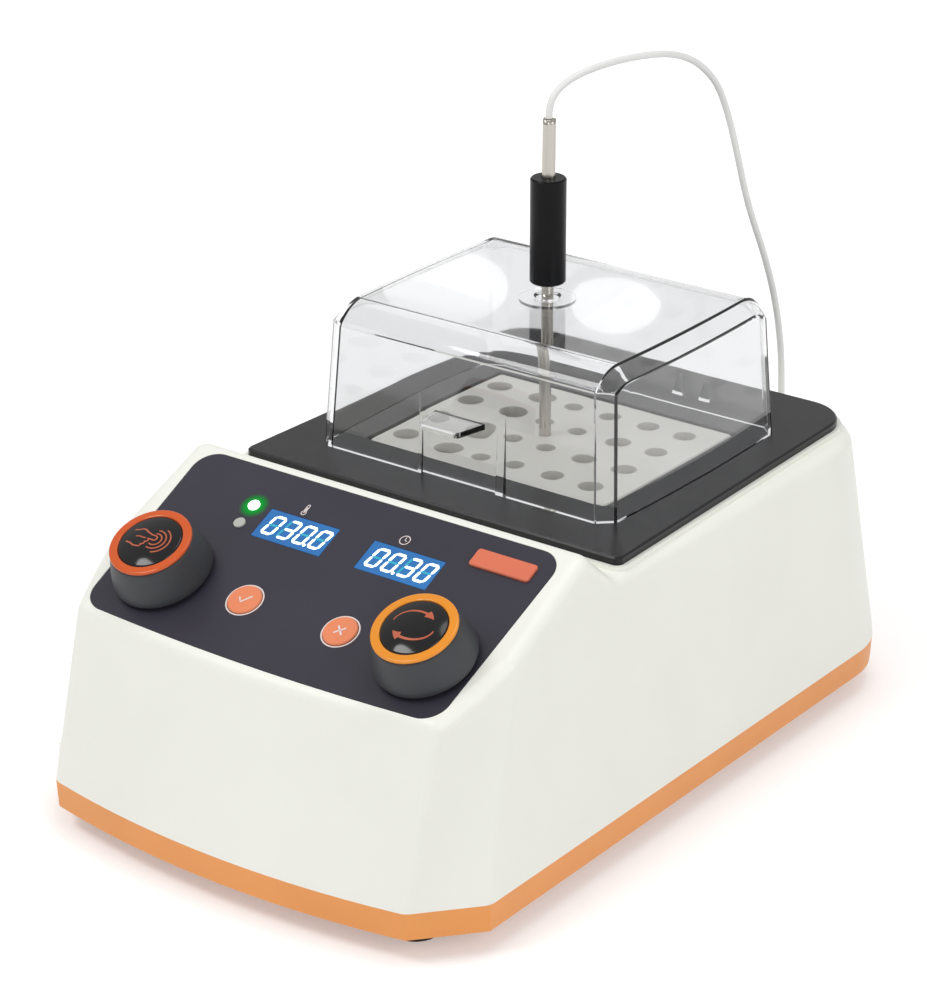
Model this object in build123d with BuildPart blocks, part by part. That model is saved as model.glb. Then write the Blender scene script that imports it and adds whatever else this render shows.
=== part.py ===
"""Dry bath incubator with a clear cover, a probe thermometer and a tilted control panel.

Millimetres, +Z up, front towards -Y. The origin is at the middle of the housing, at the height of
the surface that the feet stand on. The wedge-shaped housing narrows towards the top, its control
panel ends in a ridge, and behind the ridge a flat deck carries the black frame round the block.
"""
from build123d import *
from math import atan, cos, degrees, pi, radians, sin, tan
import os

os.makedirs("parts", exist_ok=True)

# Fits between pieces
sliding_fit = 0.3
close_fit = 0.15
shaft_fit = 0.05

# Housing, measured at the top of the coloured band
body_width = 175.0
body_depth = 274.0
band_bottom = 8.2
band_top = 17.4
band_draft = 0.5
wall = 3.0
front_bow = 7.3
facet_width = 17.2
facet_depth = 27.1
rear_corner = 33.0
side_lean = 0.105
front_lean = 0.263
facet_lean = 0.40
facet_reach = 30.0
crease_spread = 0.024
top_bow = 0.6
crease_round = 5.0
rim_round = 5.0

crease_x = body_width / 2 - facet_width
front_y = -body_depth / 2
rear_y = body_depth / 2

# Tilted panel, ridge and deck
panel_y = front_y + 23.1
panel_z = 74.7
panel_tilt = 25.6
panel_length = 70.4
panel_inset = 0.2
panel_widening = 1.8
panel_half_bottom = crease_x - panel_inset
panel_half_top = panel_half_bottom + panel_widening
panel_corner = 8.0
panel_bow = 2.4
overlay_thickness = 0.6
overlay_gap = 0.2
ridge_margin = 3.2
ridge_round = 4.0
ridge_y = panel_y + (panel_length + ridge_margin) * cos(radians(panel_tilt))
deck_z = 93.2
valley_run = 14.5
valley_y = ridge_y + valley_run
deck_half_width = body_width / 2 - side_lean * (deck_z - band_top)
valley_round = 6.0
form_top = 112.0

panel_plane = Plane(
    origin=(0, panel_y, panel_z),
    x_dir=(1, 0, 0),
    z_dir=(0, -sin(radians(panel_tilt)), cos(radians(panel_tilt))),
)

# Black frame round the block
frame_z = 94.4
frame_thickness = 2.7
frame_step = 5.9
frame_rear_gap = 15.1
frame_side_gap = 4.1
frame_narrowing = 5.0
frame_front_y = valley_y + frame_step
frame_rear_y = rear_y - frame_rear_gap
frame_half_front = deck_half_width - frame_side_gap
frame_half_rear = frame_half_front - frame_narrowing
frame_front_corner = 2.5
frame_rear_corner = 16.0
pedestal_margin = 1.6
block_clearance = 0.9
deck_opening_margin = 5.5
frame_screw = 3.0
frame_screw_inset = 12.5
frame_screw_side = 8.0
frame_screw_rear = frame_rear_y - 26.5

# Heat block and what carries it
block_width = 94.8
block_length = 75.0
block_height = 50.0
block_shift = 4.9
block_y = (frame_front_y + frame_rear_y) / 2 - block_shift
block_top = frame_z + frame_thickness - 0.4
well_depth = 38.0
well_rows = (-26.5, -8.9, 9.3, 26.6)
well_columns = ((-40.0, 8.8), (-21.8, 9.8), (-8.5, 6.4), (5.0, 6.4), (20.2, 7.6), (35.0, 7.6))
probe_x = -2.0
probe_y = block_y + 0.3
probe_bore = 4.3
probe_bore_depth = 30.0
heater_thickness = 2.5
insulation_base = 10.0
jacket_thickness = 8.5
cradle_sheet = 1.5
cradle_length = 84.0
cradle_foot = 12.0
cradle_half = block_width / 2 + jacket_thickness
cradle_screw = 3.0
cradle_screw_x = 2 * (cradle_half + cradle_sheet + cradle_foot / 2)
cradle_screw_inset = 8.0

# Clear cover
cover_front_margin = 14.5
cover_rear_margin = 12.5
cover_side_margin = 13.2
cover_front_y = block_y - block_length / 2 - cover_front_margin
cover_length = block_length + cover_front_margin + cover_rear_margin
cover_half_width = block_width / 2 + cover_side_margin
cover_height = 49.4
cover_side_bow = 1.6
cover_wall = 2.2
cover_top_round = 15.0
cover_side_draft = 3.4
cover_edge = 5.0
cover_hole = 7.6
recess_width = 30.0
recess_height = 27.0
recess_depth = 1.3
tab_root = 21.0
tab_tip = 15.0
tab_reach = 12.0
tab_thickness = 2.0
tab_height = 23.0
lug_places = (20.0, 31.0)
lug_size = (4.4, 5.0, 6.5)
lug_root = 1.6
lug_height = 5.5
cover_z = frame_z + frame_thickness

# Probe thermometer
sheath_diameter = 4.0
handle_diameter = 12.0
handle_length = 36.0
handle_z = 151.3
tube_diameter = 4.7
tube_length = 20.0
cable_diameter = 2.4

# Knobs, keys and displays, in the panel's own plane
layout_shift = 1.5
knob_inset = 18.0
knob_spacing = 2 * (panel_half_bottom - knob_inset)
knob_up = 19.8
knob_base = 33.0
knob_top = 28.0
knob_height = 12.2
knob_gap = 1.3
ring_outer = 27.4
ring_inner = 21.4
ring_height = 1.4
cap_dome = 1.5
cap_seat = 0.8
shaft_diameter = 6.0
press_travel = 0.8
key_spacing = 38.0
key_up = 19.6
key_diameter = 11.4
key_proud = 0.7
key_travel = 0.4
display_width = 27.6
display_height = 12.0
display_depth = 8.0
display_up = 49.6
temperature_x = -20.7
time_x = 20.9
lamp_x = temperature_x - 20.6
lamp_diameter = 4.0
run_lamp_up = 54.7
standby_lamp_up = 46.6
badge_width = 22.4
badge_height = 7.0
badge_thickness = 0.9
badge_inset = 18.6
badge_x = panel_half_top - badge_inset
badge_up = 60.6
board_drop = 10.0
board_thickness = 1.6
board_side_gap = 3.1
board_width = 2 * (panel_half_bottom - board_side_gap)
board_length = 54.0
board_up = 37.0
board_boss = 6.0
board_boss_inset = 6.0
board_boss_up = (33.0, 58.0)
board_screw = 2.5

# Feet and the screws through them
foot_side_inset = 27.5
foot_x = body_width / 2 - foot_side_inset
foot_inset = 26.0
foot_diameter = 17.0
foot_recess = 4.0
foot_screw = 3.0
column_diameter = 8.0
column_foot = 14.0
screw_length = 18.0

# Power board in the space under the panel
power_board_size = (104.0, 68.0)
power_board_y = -58.0
power_board_boss = 7.0
power_board_rise = 7.0
board_hole_inset = 5.0
power_board_screw = 3.0
transformer_x = -22.0
transformer_core = (36.0, 42.0)
core_base_height = 10.0
core_leg_width = 20.0
core_leg_height = 16.0
coil_size = (34.0, 26.0)
coil_height = 13.0
sink_place = (24.0, 8.0)
sink_plate = (34.0, 3.0)
sink_fin = (1.6, 12.0)
sink_fin_pitch = 5.2
sink_height = 24.0
capacitor_places = (14.0, 30.0)
capacitor_back = 14.0
capacitor_diameter = 12.0
capacitor_height = 20.0

# Rear pocket with the connectors
pocket_depth = 9.0
pocket_half_width = 72.0
pocket_low = 25.0
pocket_high = 71.0
connector_z = 47.0
inlet_x = -36.0
switch_x = 1.0
socket_x = 26.8
fuse_x = 47.0
inlet_flange = (48.0, 26.0)
inlet_body = (27.6, 20.0)
inlet_hollow = (24.4, 16.8)
inlet_reach = 21.0
inlet_hollow_depth = 16.0
inlet_flange_thickness = 2.4
inlet_screw = 3.0
inlet_screw_pitch = 40.0
inlet_screw_length = 8.0
blade = (2.0, 4.0)
blade_pitch = 14.0
blade_drop = 2.8
blade_reach = 13.0
rocker_width = 9.6
rocker_radius = 8.4
rocker_axis_depth = 2.6
rocker_tilt = 9.0
rocker_pin = 1.0
switch_flange = (15.5, 21.5)
switch_flange_thickness = 1.8
switch_opening = (rocker_width + 2 * sliding_fit, 2 * (rocker_radius + sliding_fit))
switch_body = (switch_opening[0] + 2.6, switch_opening[1] + 1.8)
pin_reach = switch_opening[0] / 2 + 0.7
switch_reach = 14.0
fuse_flange = 15.0
fuse_body = 11.6
fuse_reach = 26.0
fuse_flange_thickness = 2.0
fuse_wall = 1.5
fuse_cap_height = 3.0
fuse_cap_reach = 18.0
pocket_y = rear_y - pocket_depth
rocker_axis = (switch_x, pocket_y - rocker_axis_depth, connector_z)
connector_plane = Plane(origin=(0, pocket_y, connector_z), x_dir=(-1, 0, 0), z_dir=(0, 1, 0))
rocker_plane = Plane(
    origin=rocker_axis,
    x_dir=(0, cos(radians(rocker_tilt)), sin(radians(rocker_tilt))),
    z_dir=(1, 0, 0),
)


def save(part, name):
    """Label a finished piece and write its file."""
    part.label = name
    export_step(part, f"parts/{name}.step")


def above_panel(shape):
    """How far a shape's middle stands above the panel, to sort edges and faces by."""
    return panel_plane.to_local_coords(shape.center()).Z


def on_panel(x, up):
    """A place on the panel: x is moved with the whole printed layout."""
    return (x + layout_shift, up)


def plan_outline(height, inset=0.0, reach=0.0):
    """The housing's section at one height, drawn inwards by the inset.

    With a reach, the sides and rear run past the housing, so that only the front and facets count.
    """
    rise = height - band_top
    lean_share = rise / (form_top - band_top)
    crease = (crease_x + crease_spread * rise, front_y + front_bow + front_lean * rise)
    shoulder = (body_width / 2 - side_lean * rise, front_y + facet_depth + facet_lean * rise)
    beyond = (
        shoulder[0] + reach * (shoulder[0] - crease[0]) / (shoulder[1] - crease[1]),
        shoulder[1] + reach,
    )
    rear = rear_y - side_lean * rise + reach
    bow = front_bow + (top_bow - front_bow) * lean_share
    with BuildSketch(Plane.XY.offset(height)) as outline:
        with BuildLine():
            ThreePointArc((-crease[0], crease[1]), (0, crease[1] - bow), crease)
            Polyline(
                crease,
                beyond,
                (beyond[0], rear),
                (-beyond[0], rear),
                (-beyond[0], beyond[1]),
                (-crease[0], crease[1]),
            )
        make_face()
        if reach == 0:
            fillet(outline.vertices().group_by(Axis.Y)[-1], rear_corner)
        if inset > 0:
            offset(amount=-inset)
    return outline.sketch


def housing_form(inset=0.0):
    """The wedge as a solid: drafted sides, cut to its faceted front and to its side view."""
    slope = tan(radians(panel_tilt))
    low_y = front_y - 30
    with BuildPart() as front_form:
        add(plan_outline(band_top, inset, facet_reach))
        add(plan_outline(form_top, inset, facet_reach))
        loft(ruled=True)
    with BuildPart() as form:
        with BuildSketch(Plane.XY.offset(band_top)):
            Rectangle(body_width - 2 * inset, body_depth - 2 * inset)
        extrude(amount=form_top - band_top, taper=degrees(atan(side_lean)))
        rear_edges = form.edges().filter_by(lambda e: e.center().Y > 0 and abs(e.center().X) > crease_x)
        fillet(rear_edges.filter_by(lambda e: e.bounding_box().size.Z > wall), rear_corner - inset)
        add(front_form.part, mode=Mode.INTERSECT)
        with BuildSketch(Plane.YZ.offset(-body_width)) as side_view:
            with BuildLine():
                Polyline(
                    (low_y, band_top - inset),
                    (low_y, panel_z + (low_y - panel_y) * slope),
                    (ridge_y, panel_z + (ridge_y - panel_y) * slope),
                    (valley_y, deck_z),
                    (rear_y + 30, deck_z),
                    (rear_y + 30, band_top - inset),
                    close=True,
                )
            make_face()
            fillet(side_view.vertices().sort_by_distance((0, valley_y, deck_z))[0], valley_round)
            if inset > 0:
                offset(amount=-inset, kind=Kind.INTERSECTION)
        extrude(amount=2 * body_width, mode=Mode.INTERSECT)
    return form


def outer_form():
    """The wedge with its creases, rim and ridge rounded as the moulding is."""
    form = housing_form()
    with form:
        upright = [e for e in form.edges() if e.center().Y < 0 and e.bounding_box().size.Z > 30]
        fillet(upright, crease_round)
        top_edges = [e for f in form.faces() if f.normal_at().Z > 0.6 for e in f.edges()]
        fillet([e for e in top_edges if top_edges.count(e) == 1], rim_round)
        fillet(form.edges().filter_by(Axis.X).sort_by(Axis.Z)[-1], ridge_round)
    return form


def foot_places():
    """The four feet, screws and screw columns share these places."""
    return GridLocations(2 * foot_x, body_depth - 2 * foot_inset, 2, 2)


def board_places():
    """The four bosses under the panel that carry the control board, given in the panel's plane."""
    side = board_width / 2 - board_boss_inset
    low, high = board_boss_up
    return Locations((-side, low), (side, low), (-side, high), (side, high))


def frame_outline(grow=0.0):
    """The black frame narrows towards the rear and has larger corners there."""
    rear = frame_rear_y
    with BuildSketch() as outline:
        with BuildLine():
            Polyline(
                (-frame_half_front, frame_front_y),
                (frame_half_front, frame_front_y),
                (frame_half_rear, rear),
                (-frame_half_rear, rear),
                close=True,
            )
        make_face()
        fillet(outline.vertices().group_by(Axis.Y)[0], frame_front_corner)
        fillet(outline.vertices().group_by(Axis.Y)[-1], frame_rear_corner)
        if grow > 0:
            offset(amount=grow)
    return outline.sketch


def frame_screw_places():
    """Four screws from below into the frame, clear of the columns at the rear."""
    front = frame_front_y + frame_screw_inset
    side = frame_half_rear - frame_screw_side
    return Locations((-side, front), (side, front), (-side, frame_screw_rear), (side, frame_screw_rear))


def power_board_places():
    """The bosses and screws at the power board's corners."""
    return GridLocations(
        power_board_size[0] - 2 * board_hole_inset, power_board_size[1] - 2 * board_hole_inset, 2, 2
    )


def cradle_screw_places():
    """The four screws that hold the cradle's feet to the tray."""
    return GridLocations(cradle_screw_x, cradle_length - 2 * cradle_screw_inset, 2, 2)


def overlay_outline(grow=0.0):
    """The panel's printed sheet, with its lower edge bowed like the housing's front."""
    with BuildSketch() as outline:
        with BuildLine():
            ThreePointArc((-panel_half_bottom, 0), (0, -panel_bow), (panel_half_bottom, 0))
            Polyline(
                (panel_half_bottom, 0),
                (panel_half_top, panel_length),
                (-panel_half_top, panel_length),
                (-panel_half_bottom, 0),
            )
        make_face()
        fillet(outline.vertices(), panel_corner)
        if grow > 0:
            offset(amount=grow)
    return outline.sketch


def panel_holes(shaft_hole, key_hole, window_grow, lamp_hole):
    """The holes that panel and overlay share, each with its own clearance."""
    with BuildSketch() as holes:
        with Locations(on_panel(-knob_spacing / 2, knob_up), on_panel(knob_spacing / 2, knob_up)):
            Circle(shaft_hole / 2)
        with Locations(on_panel(-key_spacing / 2, key_up), on_panel(key_spacing / 2, key_up)):
            Circle(key_hole / 2)
        with Locations(on_panel(temperature_x, display_up), on_panel(time_x, display_up)):
            Rectangle(display_width + window_grow, display_height + window_grow)
        with Locations(on_panel(lamp_x, run_lamp_up), on_panel(lamp_x, standby_lamp_up)):
            Circle(lamp_hole / 2)
    return holes.sketch


bushing_diameter = 7.0
panel_hole_sizes = (
    bushing_diameter + 2 * close_fit,
    key_diameter + 2 * sliding_fit,
    2 * close_fit,
    lamp_diameter + 2 * close_fit,
)

# The hollow inside the upper housing, with its columns, bosses and rear pocket left standing
with BuildPart() as hollow:
    add(housing_form(wall).part)
    with BuildSketch(Plane.XY.offset(band_top - 1)):
        with foot_places():
            Circle(column_diameter / 2)
    extrude(amount=form_top, mode=Mode.SUBTRACT)
    with BuildSketch(panel_plane.offset(-board_drop)):
        with board_places():
            Circle(board_boss / 2)
    extrude(amount=board_drop, mode=Mode.SUBTRACT)
    with BuildSketch(Plane.XZ.offset(-(pocket_y - wall))):
        with Locations((0, (pocket_low + pocket_high) / 2)):
            Rectangle(2 * (pocket_half_width + wall), pocket_high - pocket_low + 2 * wall)
    extrude(amount=-(pocket_depth + 2 * wall), mode=Mode.SUBTRACT)

with BuildPart() as upper_housing:
    add(outer_form().part)
    with BuildSketch(Plane.XY.offset(deck_z - wall)):
        add(frame_outline(pedestal_margin))
    extrude(amount=frame_z - deck_z + wall)
    add(hollow.part, mode=Mode.SUBTRACT)
    with BuildSketch(Plane.XY.offset(column_foot)):
        with foot_places():
            Circle(column_diameter / 2)
    extrude(amount=band_top - column_foot + wall)
    with BuildSketch(Plane.XY.offset(column_foot)):
        with foot_places():
            Circle(foot_screw / 2 + shaft_fit)
    extrude(amount=screw_length, mode=Mode.SUBTRACT)
    with BuildSketch(panel_plane.offset(-overlay_thickness)):
        add(overlay_outline(overlay_gap))
    extrude(amount=2 * overlay_thickness, mode=Mode.SUBTRACT)
    with BuildSketch(panel_plane.offset(-2 * wall)):
        add(panel_holes(*panel_hole_sizes))
    extrude(amount=2 * wall, mode=Mode.SUBTRACT)
    with BuildSketch(panel_plane.offset(-board_drop)):
        with board_places():
            Circle(board_screw / 2 + shaft_fit)
    extrude(amount=board_drop - wall, mode=Mode.SUBTRACT)
    with BuildSketch(Plane.XY.offset(deck_z - wall)):
        with frame_screw_places():
            Circle(frame_screw / 2 + shaft_fit)
    extrude(amount=frame_z - deck_z + wall, mode=Mode.SUBTRACT)
    with BuildSketch(Plane.XY.offset(deck_z - 4 * wall)):
        with Locations((0, block_y)):
            RectangleRounded(
                block_width + 2 * deck_opening_margin, block_length + 2 * deck_opening_margin, 5
            )
    extrude(amount=8 * wall, mode=Mode.SUBTRACT)
    with BuildSketch(Plane.XZ.offset(-pocket_y)):
        with Locations((0, (pocket_low + pocket_high) / 2)):
            RectangleRounded(2 * pocket_half_width, pocket_high - pocket_low, 4)
    extrude(amount=-4 * pocket_depth, mode=Mode.SUBTRACT)
    with BuildSketch(connector_plane):
        with Locations((-inlet_x, 0)):
            Rectangle(inlet_body[0] + sliding_fit, inlet_body[1] + sliding_fit)
            with GridLocations(inlet_screw_pitch, 0, 2, 1):
                Circle(inlet_screw / 2 + shaft_fit)
        with Locations((-switch_x, 0)):
            Rectangle(switch_body[0] + sliding_fit, switch_body[1] + sliding_fit)
        with Locations((-socket_x, 0)):
            Circle(4 + close_fit)
        with Locations((-fuse_x, 0)):
            Circle(fuse_body / 2 + close_fit)
    extrude(amount=-2 * wall, mode=Mode.SUBTRACT)

save(upper_housing.part, "upper_housing")

# Base tray in the band's colour, with a tongue inside the housing, screw bosses and vent slots
tray_floor = 2.5
tray_wall = 4.6
tongue_gap = 0.6
tongue_height = 3.0
boss_diameter = 9.5
vent_length = 34.0
vent_width = 2.8
vent_pitch = 7.0
vent_count = 5
vent_field_x = 80.0
vent_field_y = 150.0
floor_top = band_bottom + tray_floor


def tray_section(height, inset):
    """The section at the top of the band, set down at another height."""
    return plan_outline(band_top, inset).moved(Location((0, 0, height - band_top)))


with BuildPart() as tongue:
    add(plan_outline(band_top, wall + tongue_gap))
    add(plan_outline(band_top + tongue_height, wall + tongue_gap))
    loft(ruled=True)
    add(plan_outline(band_top, tray_wall))
    add(plan_outline(band_top + tongue_height, tray_wall))
    loft(ruled=True, mode=Mode.SUBTRACT)

with BuildPart() as base_tray:
    add(tray_section(band_bottom, band_draft))
    add(tray_section(band_top, 0))
    loft(ruled=True)
    add(tray_section(floor_top, tray_wall))
    add(tray_section(band_top, tray_wall))
    loft(ruled=True, mode=Mode.SUBTRACT)
    add(tongue.part)
    with BuildSketch(Plane.XY.offset(floor_top)):
        with foot_places():
            Circle(boss_diameter / 2)
    extrude(amount=column_foot - floor_top)
    with BuildSketch(Plane.XY.offset(floor_top)):
        with Locations((0, power_board_y)):
            with power_board_places():
                Circle(power_board_boss / 2)
    extrude(amount=power_board_rise)
    with BuildSketch(Plane.XY.offset(floor_top)):
        with Locations((0, power_board_y)):
            with power_board_places():
                Circle(power_board_screw / 2 + shaft_fit)
    extrude(amount=power_board_rise, mode=Mode.SUBTRACT)
    with BuildSketch(Plane.XY):
        with foot_places():
            Circle(foot_screw / 2 + close_fit)
        with Locations((0, block_y)):
            with cradle_screw_places():
                Circle(cradle_screw / 2 + shaft_fit)
        with GridLocations(vent_field_x, vent_field_y, 2, 2):
            with GridLocations(0, vent_pitch, 1, vent_count):
                Rectangle(vent_length, vent_width)
    extrude(amount=form_top, mode=Mode.SUBTRACT)
save(base_tray.part, "base_tray")

# Feet, narrower at the floor, with a recess for the housing screws' heads
with BuildPart() as rubber_feet:
    with foot_places():
        Cone(
            foot_diameter / 2 - 1,
            foot_diameter / 2,
            band_bottom,
            align=(Align.CENTER, Align.CENTER, Align.MIN),
        )
    with BuildSketch():
        with foot_places():
            Circle(foot_screw + 2 * sliding_fit)
    extrude(amount=foot_recess, mode=Mode.SUBTRACT)
    with BuildSketch():
        with foot_places():
            Circle(foot_screw / 2 + close_fit)
    extrude(amount=band_bottom, mode=Mode.SUBTRACT)
save(rubber_feet.part, "rubber_feet")

with BuildPart() as housing_screws:
    with BuildSketch(Plane.XY.offset(foot_recess)):
        with foot_places():
            Circle(foot_screw)
    extrude(amount=-2.4)
    with BuildSketch(Plane.XY.offset(foot_recess)):
        with foot_places():
            Circle(foot_screw / 2)
    extrude(amount=column_foot + screw_length - foot_recess - 2)
save(housing_screws.part, "housing_screws")

# Printed sheet on the panel
with BuildPart() as front_overlay:
    with BuildSketch(panel_plane.offset(-overlay_thickness)):
        add(overlay_outline())
        add(panel_holes(*panel_hole_sizes), mode=Mode.SUBTRACT)
    extrude(amount=overlay_thickness)
save(front_overlay.part, "front_overlay")


def display(x, name):
    """A backlit display: its window is flush with the overlay and its body sits on the board."""
    with BuildPart() as module:
        with BuildSketch(panel_plane.offset(-board_drop)):
            with Locations(on_panel(x, display_up)):
                Rectangle(display_width + 3.4, display_height + 3.4)
        extrude(amount=board_drop - wall - sliding_fit)
        with BuildSketch(panel_plane.offset(-board_drop)):
            with Locations(on_panel(x, display_up)):
                Rectangle(display_width, display_height)
        extrude(amount=board_drop)
    save(module.part, name)


display(temperature_x, "temperature_display")
display(time_x, "time_display")

# Board parallel to the panel, on bosses under it
with BuildPart() as control_board:
    with BuildSketch(panel_plane.offset(-board_drop - board_thickness)):
        with Locations((0, board_up)):
            RectangleRounded(board_width, board_length, 2)
        with board_places():
            Circle(board_screw / 2 + close_fit, mode=Mode.SUBTRACT)
    extrude(amount=board_thickness)
save(control_board.part, "control_board")

with BuildPart() as board_screws:
    with BuildSketch(panel_plane.offset(-board_drop - board_thickness)):
        with board_places():
            Circle(board_screw - close_fit)
    extrude(amount=-0.7 * board_screw)
    with BuildSketch(panel_plane.offset(-board_drop - board_thickness)):
        with board_places():
            Circle(board_screw / 2)
    extrude(amount=board_thickness + 5)
save(board_screws.part, "board_screws")


def lamp(up, name):
    """A round indicator: a lens with a collar on the board and a domed tip."""
    with BuildPart() as lens:
        with BuildSketch(panel_plane.offset(-board_drop)):
            with Locations(on_panel(lamp_x, up)):
                Circle(lamp_diameter / 2 + 0.5)
        extrude(amount=2)
        with BuildSketch(panel_plane.offset(-board_drop)):
            with Locations(on_panel(lamp_x, up)):
                Circle(lamp_diameter / 2)
        extrude(amount=board_drop + 0.5)
    save(lens.part, name)


lamp(run_lamp_up, "run_lamp")
lamp(standby_lamp_up, "standby_lamp")

# Keys with a retaining flange under the panel, each above a switch on the board
switch_side = 6.0
switch_height = 3.5
key_flange = 1.2


def key(x, name):
    """A round key cap with its flange and the stem that reaches its switch."""
    stem_low = -board_drop + switch_height + key_travel + 0.1
    with BuildPart() as cap:
        with BuildSketch(panel_plane.offset(-wall - sliding_fit)):
            with Locations(on_panel(x, key_up)):
                Circle(key_diameter / 2)
        extrude(amount=wall + sliding_fit + key_proud)
        chamfer(cap.edges().sort_by(above_panel)[-1], 0.3)
        with BuildSketch(panel_plane.offset(-wall - sliding_fit)):
            with Locations(on_panel(x, key_up)):
                Circle(key_diameter / 2 + 1)
        extrude(amount=-key_flange)
        with BuildSketch(panel_plane.offset(stem_low)):
            with Locations(on_panel(x, key_up)):
                Circle(2)
        extrude(amount=-wall - stem_low)
    save(cap.part, name)


key(-key_spacing / 2, "set_key")
key(key_spacing / 2, "esc_key")

with BuildPart() as key_switches:
    with BuildSketch(panel_plane.offset(-board_drop)):
        with Locations(on_panel(-key_spacing / 2, key_up), on_panel(key_spacing / 2, key_up)):
            RectangleRounded(switch_side, switch_side, 0.5)
    extrude(amount=switch_height)
save(key_switches.part, "key_switches")

# Control knobs: a switch or encoder on the board, a shaft, a soft body, a ring and a domed cap
control_side = 13.0
control_height = 5.5
shaft_low = -board_drop + 1.2
shaft_high = 9.0
bushing_top = overlay_thickness + 0.1


def at_control(side, height):
    """The plane across one control's axis, at a height above the panel."""
    x, up = on_panel(side * knob_spacing / 2, knob_up)
    centre = panel_plane.offset(height).from_local_coords(Vector(x, up, 0))
    return Plane(origin=centre, x_dir=panel_plane.x_dir, z_dir=panel_plane.z_dir)


def knob_section(side, height):
    """The upright plane through a knob's axis, in which its outline is drawn."""
    axis_plane = at_control(side, height)
    return Plane(origin=axis_plane.origin, x_dir=axis_plane.x_dir, z_dir=-axis_plane.y_dir)


def control_post(side, name):
    """The part of the control that is soldered to the board, with its threaded bushing."""
    with BuildPart() as post:
        with BuildSketch(at_control(side, -board_drop)):
            RectangleRounded(control_side, control_side, 1)
        extrude(amount=control_height)
        with BuildSketch(at_control(side, -board_drop)):
            Circle(bushing_diameter / 2)
        extrude(amount=board_drop + bushing_top)
        with BuildSketch(at_control(side, shaft_low - press_travel - 0.1)):
            Circle(shaft_diameter / 2 + shaft_fit)
        extrude(amount=board_drop + shaft_high, mode=Mode.SUBTRACT)
    save(post.part, name)


def control_shaft(side, name):
    """The shaft that carries the knob."""
    with BuildPart() as shaft:
        with BuildSketch(at_control(side, shaft_low)):
            Circle(shaft_diameter / 2)
        extrude(amount=shaft_high - shaft_low)
    save(shaft.part, name)


def knob_body(side, name):
    """The grey body: hollow from below, flared at its foot, with a seat for the cap on top."""
    foot = knob_base / 2
    top = knob_top / 2
    end = knob_gap + knob_height
    section = knob_section(side, 0)
    with BuildPart() as body:
        with BuildSketch(section):
            with BuildLine():
                Line((0, knob_gap), (foot, knob_gap))
                Line((foot, knob_gap), (foot, knob_gap + 1.6))
                Spline(
                    (foot, knob_gap + 1.6),
                    (top + 0.5, knob_gap + 0.6 * knob_height),
                    (top - 0.4, end),
                    tangents=((-0.2, 1), (-0.1, 1)),
                )
                Polyline((top - 0.4, end), (0, end), (0, knob_gap))
            make_face()
        revolve(axis=Axis(section.origin, panel_plane.z_dir))
        with BuildSketch(at_control(side, knob_gap)):
            Circle(foot - 4)
        extrude(amount=1.2, mode=Mode.SUBTRACT)
        with BuildSketch(at_control(side, knob_gap)):
            Circle(foot - 4.5)
            Circle(shaft_diameter / 2 + 2, mode=Mode.SUBTRACT)
        extrude(amount=0.6 * knob_height, mode=Mode.SUBTRACT)
        with BuildSketch(at_control(side, knob_gap)):
            Circle(shaft_diameter / 2 + shaft_fit)
        extrude(amount=shaft_high - knob_gap + 0.2, mode=Mode.SUBTRACT)
        with BuildSketch(at_control(side, end - cap_seat)):
            Circle(ring_inner / 2)
        extrude(amount=2 * cap_seat, mode=Mode.SUBTRACT)
    save(body.part, name)


def knob_ring(side, name):
    """The coloured ring on top of the body, rounded along its upper edges."""
    end = knob_gap + knob_height
    with BuildPart() as ring:
        with BuildSketch(at_control(side, end)):
            Circle(ring_outer / 2)
            Circle(ring_inner / 2, mode=Mode.SUBTRACT)
        extrude(amount=ring_height)
        chamfer(ring.edges().sort_by(above_panel)[-2:], 0.5)
    save(ring.part, name)


def knob_cap(side, name):
    """The black cap inside the ring, with a domed top."""
    end = knob_gap + knob_height
    radius = ring_inner / 2 - close_fit
    rise = cap_seat + ring_height - 0.2
    arc_radius = (radius**2 + cap_dome**2) / (2 * cap_dome)
    section = knob_section(side, end - cap_seat)
    with BuildPart() as cap:
        with BuildSketch(section):
            with BuildLine():
                Polyline((0, rise + cap_dome), (0, 0), (radius, 0), (radius, rise))
                RadiusArc((radius, rise), (0, rise + cap_dome), -arc_radius)
            make_face()
        revolve(axis=Axis(section.origin, panel_plane.z_dir))
    save(cap.part, name)


for side, control, post_name in ((-1, "press", "press_switch"), (1, "rotary", "rotary_encoder")):
    control_post(side, post_name)
    control_shaft(side, f"{control}_shaft")
    knob_body(side, f"{control}_knob_body")
    knob_ring(side, f"{control}_knob_ring")
    knob_cap(side, f"{control}_knob_cap")

with BuildPart() as blank_badge:
    with BuildSketch(panel_plane):
        with Locations(on_panel(badge_x, badge_up)):
            RectangleRounded(badge_width, badge_height, 1.2)
    extrude(amount=badge_thickness)
    chamfer(blank_badge.faces().sort_by(above_panel)[-1].edges(), 0.3)
save(blank_badge.part, "blank_badge")

# Black frame, held to the deck by short screws from below
frame_hole_x = block_width + 2 * block_clearance
frame_hole_y = block_length + 2 * block_clearance

with BuildPart() as top_frame:
    with BuildSketch(Plane.XY.offset(frame_z)):
        add(frame_outline())
        with Locations((0, block_y)):
            RectangleRounded(frame_hole_x, frame_hole_y, 1.5, mode=Mode.SUBTRACT)
    extrude(amount=frame_thickness)
    upper = top_frame.faces().sort_by(Axis.Z)[-1]
    chamfer(upper.outer_wire().edges(), 0.6)
    with BuildSketch(Plane.XY.offset(frame_z)):
        with frame_screw_places():
            Circle(frame_screw / 2 + shaft_fit)
    extrude(amount=frame_thickness - 0.7, mode=Mode.SUBTRACT)
save(top_frame.part, "top_frame")

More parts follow.
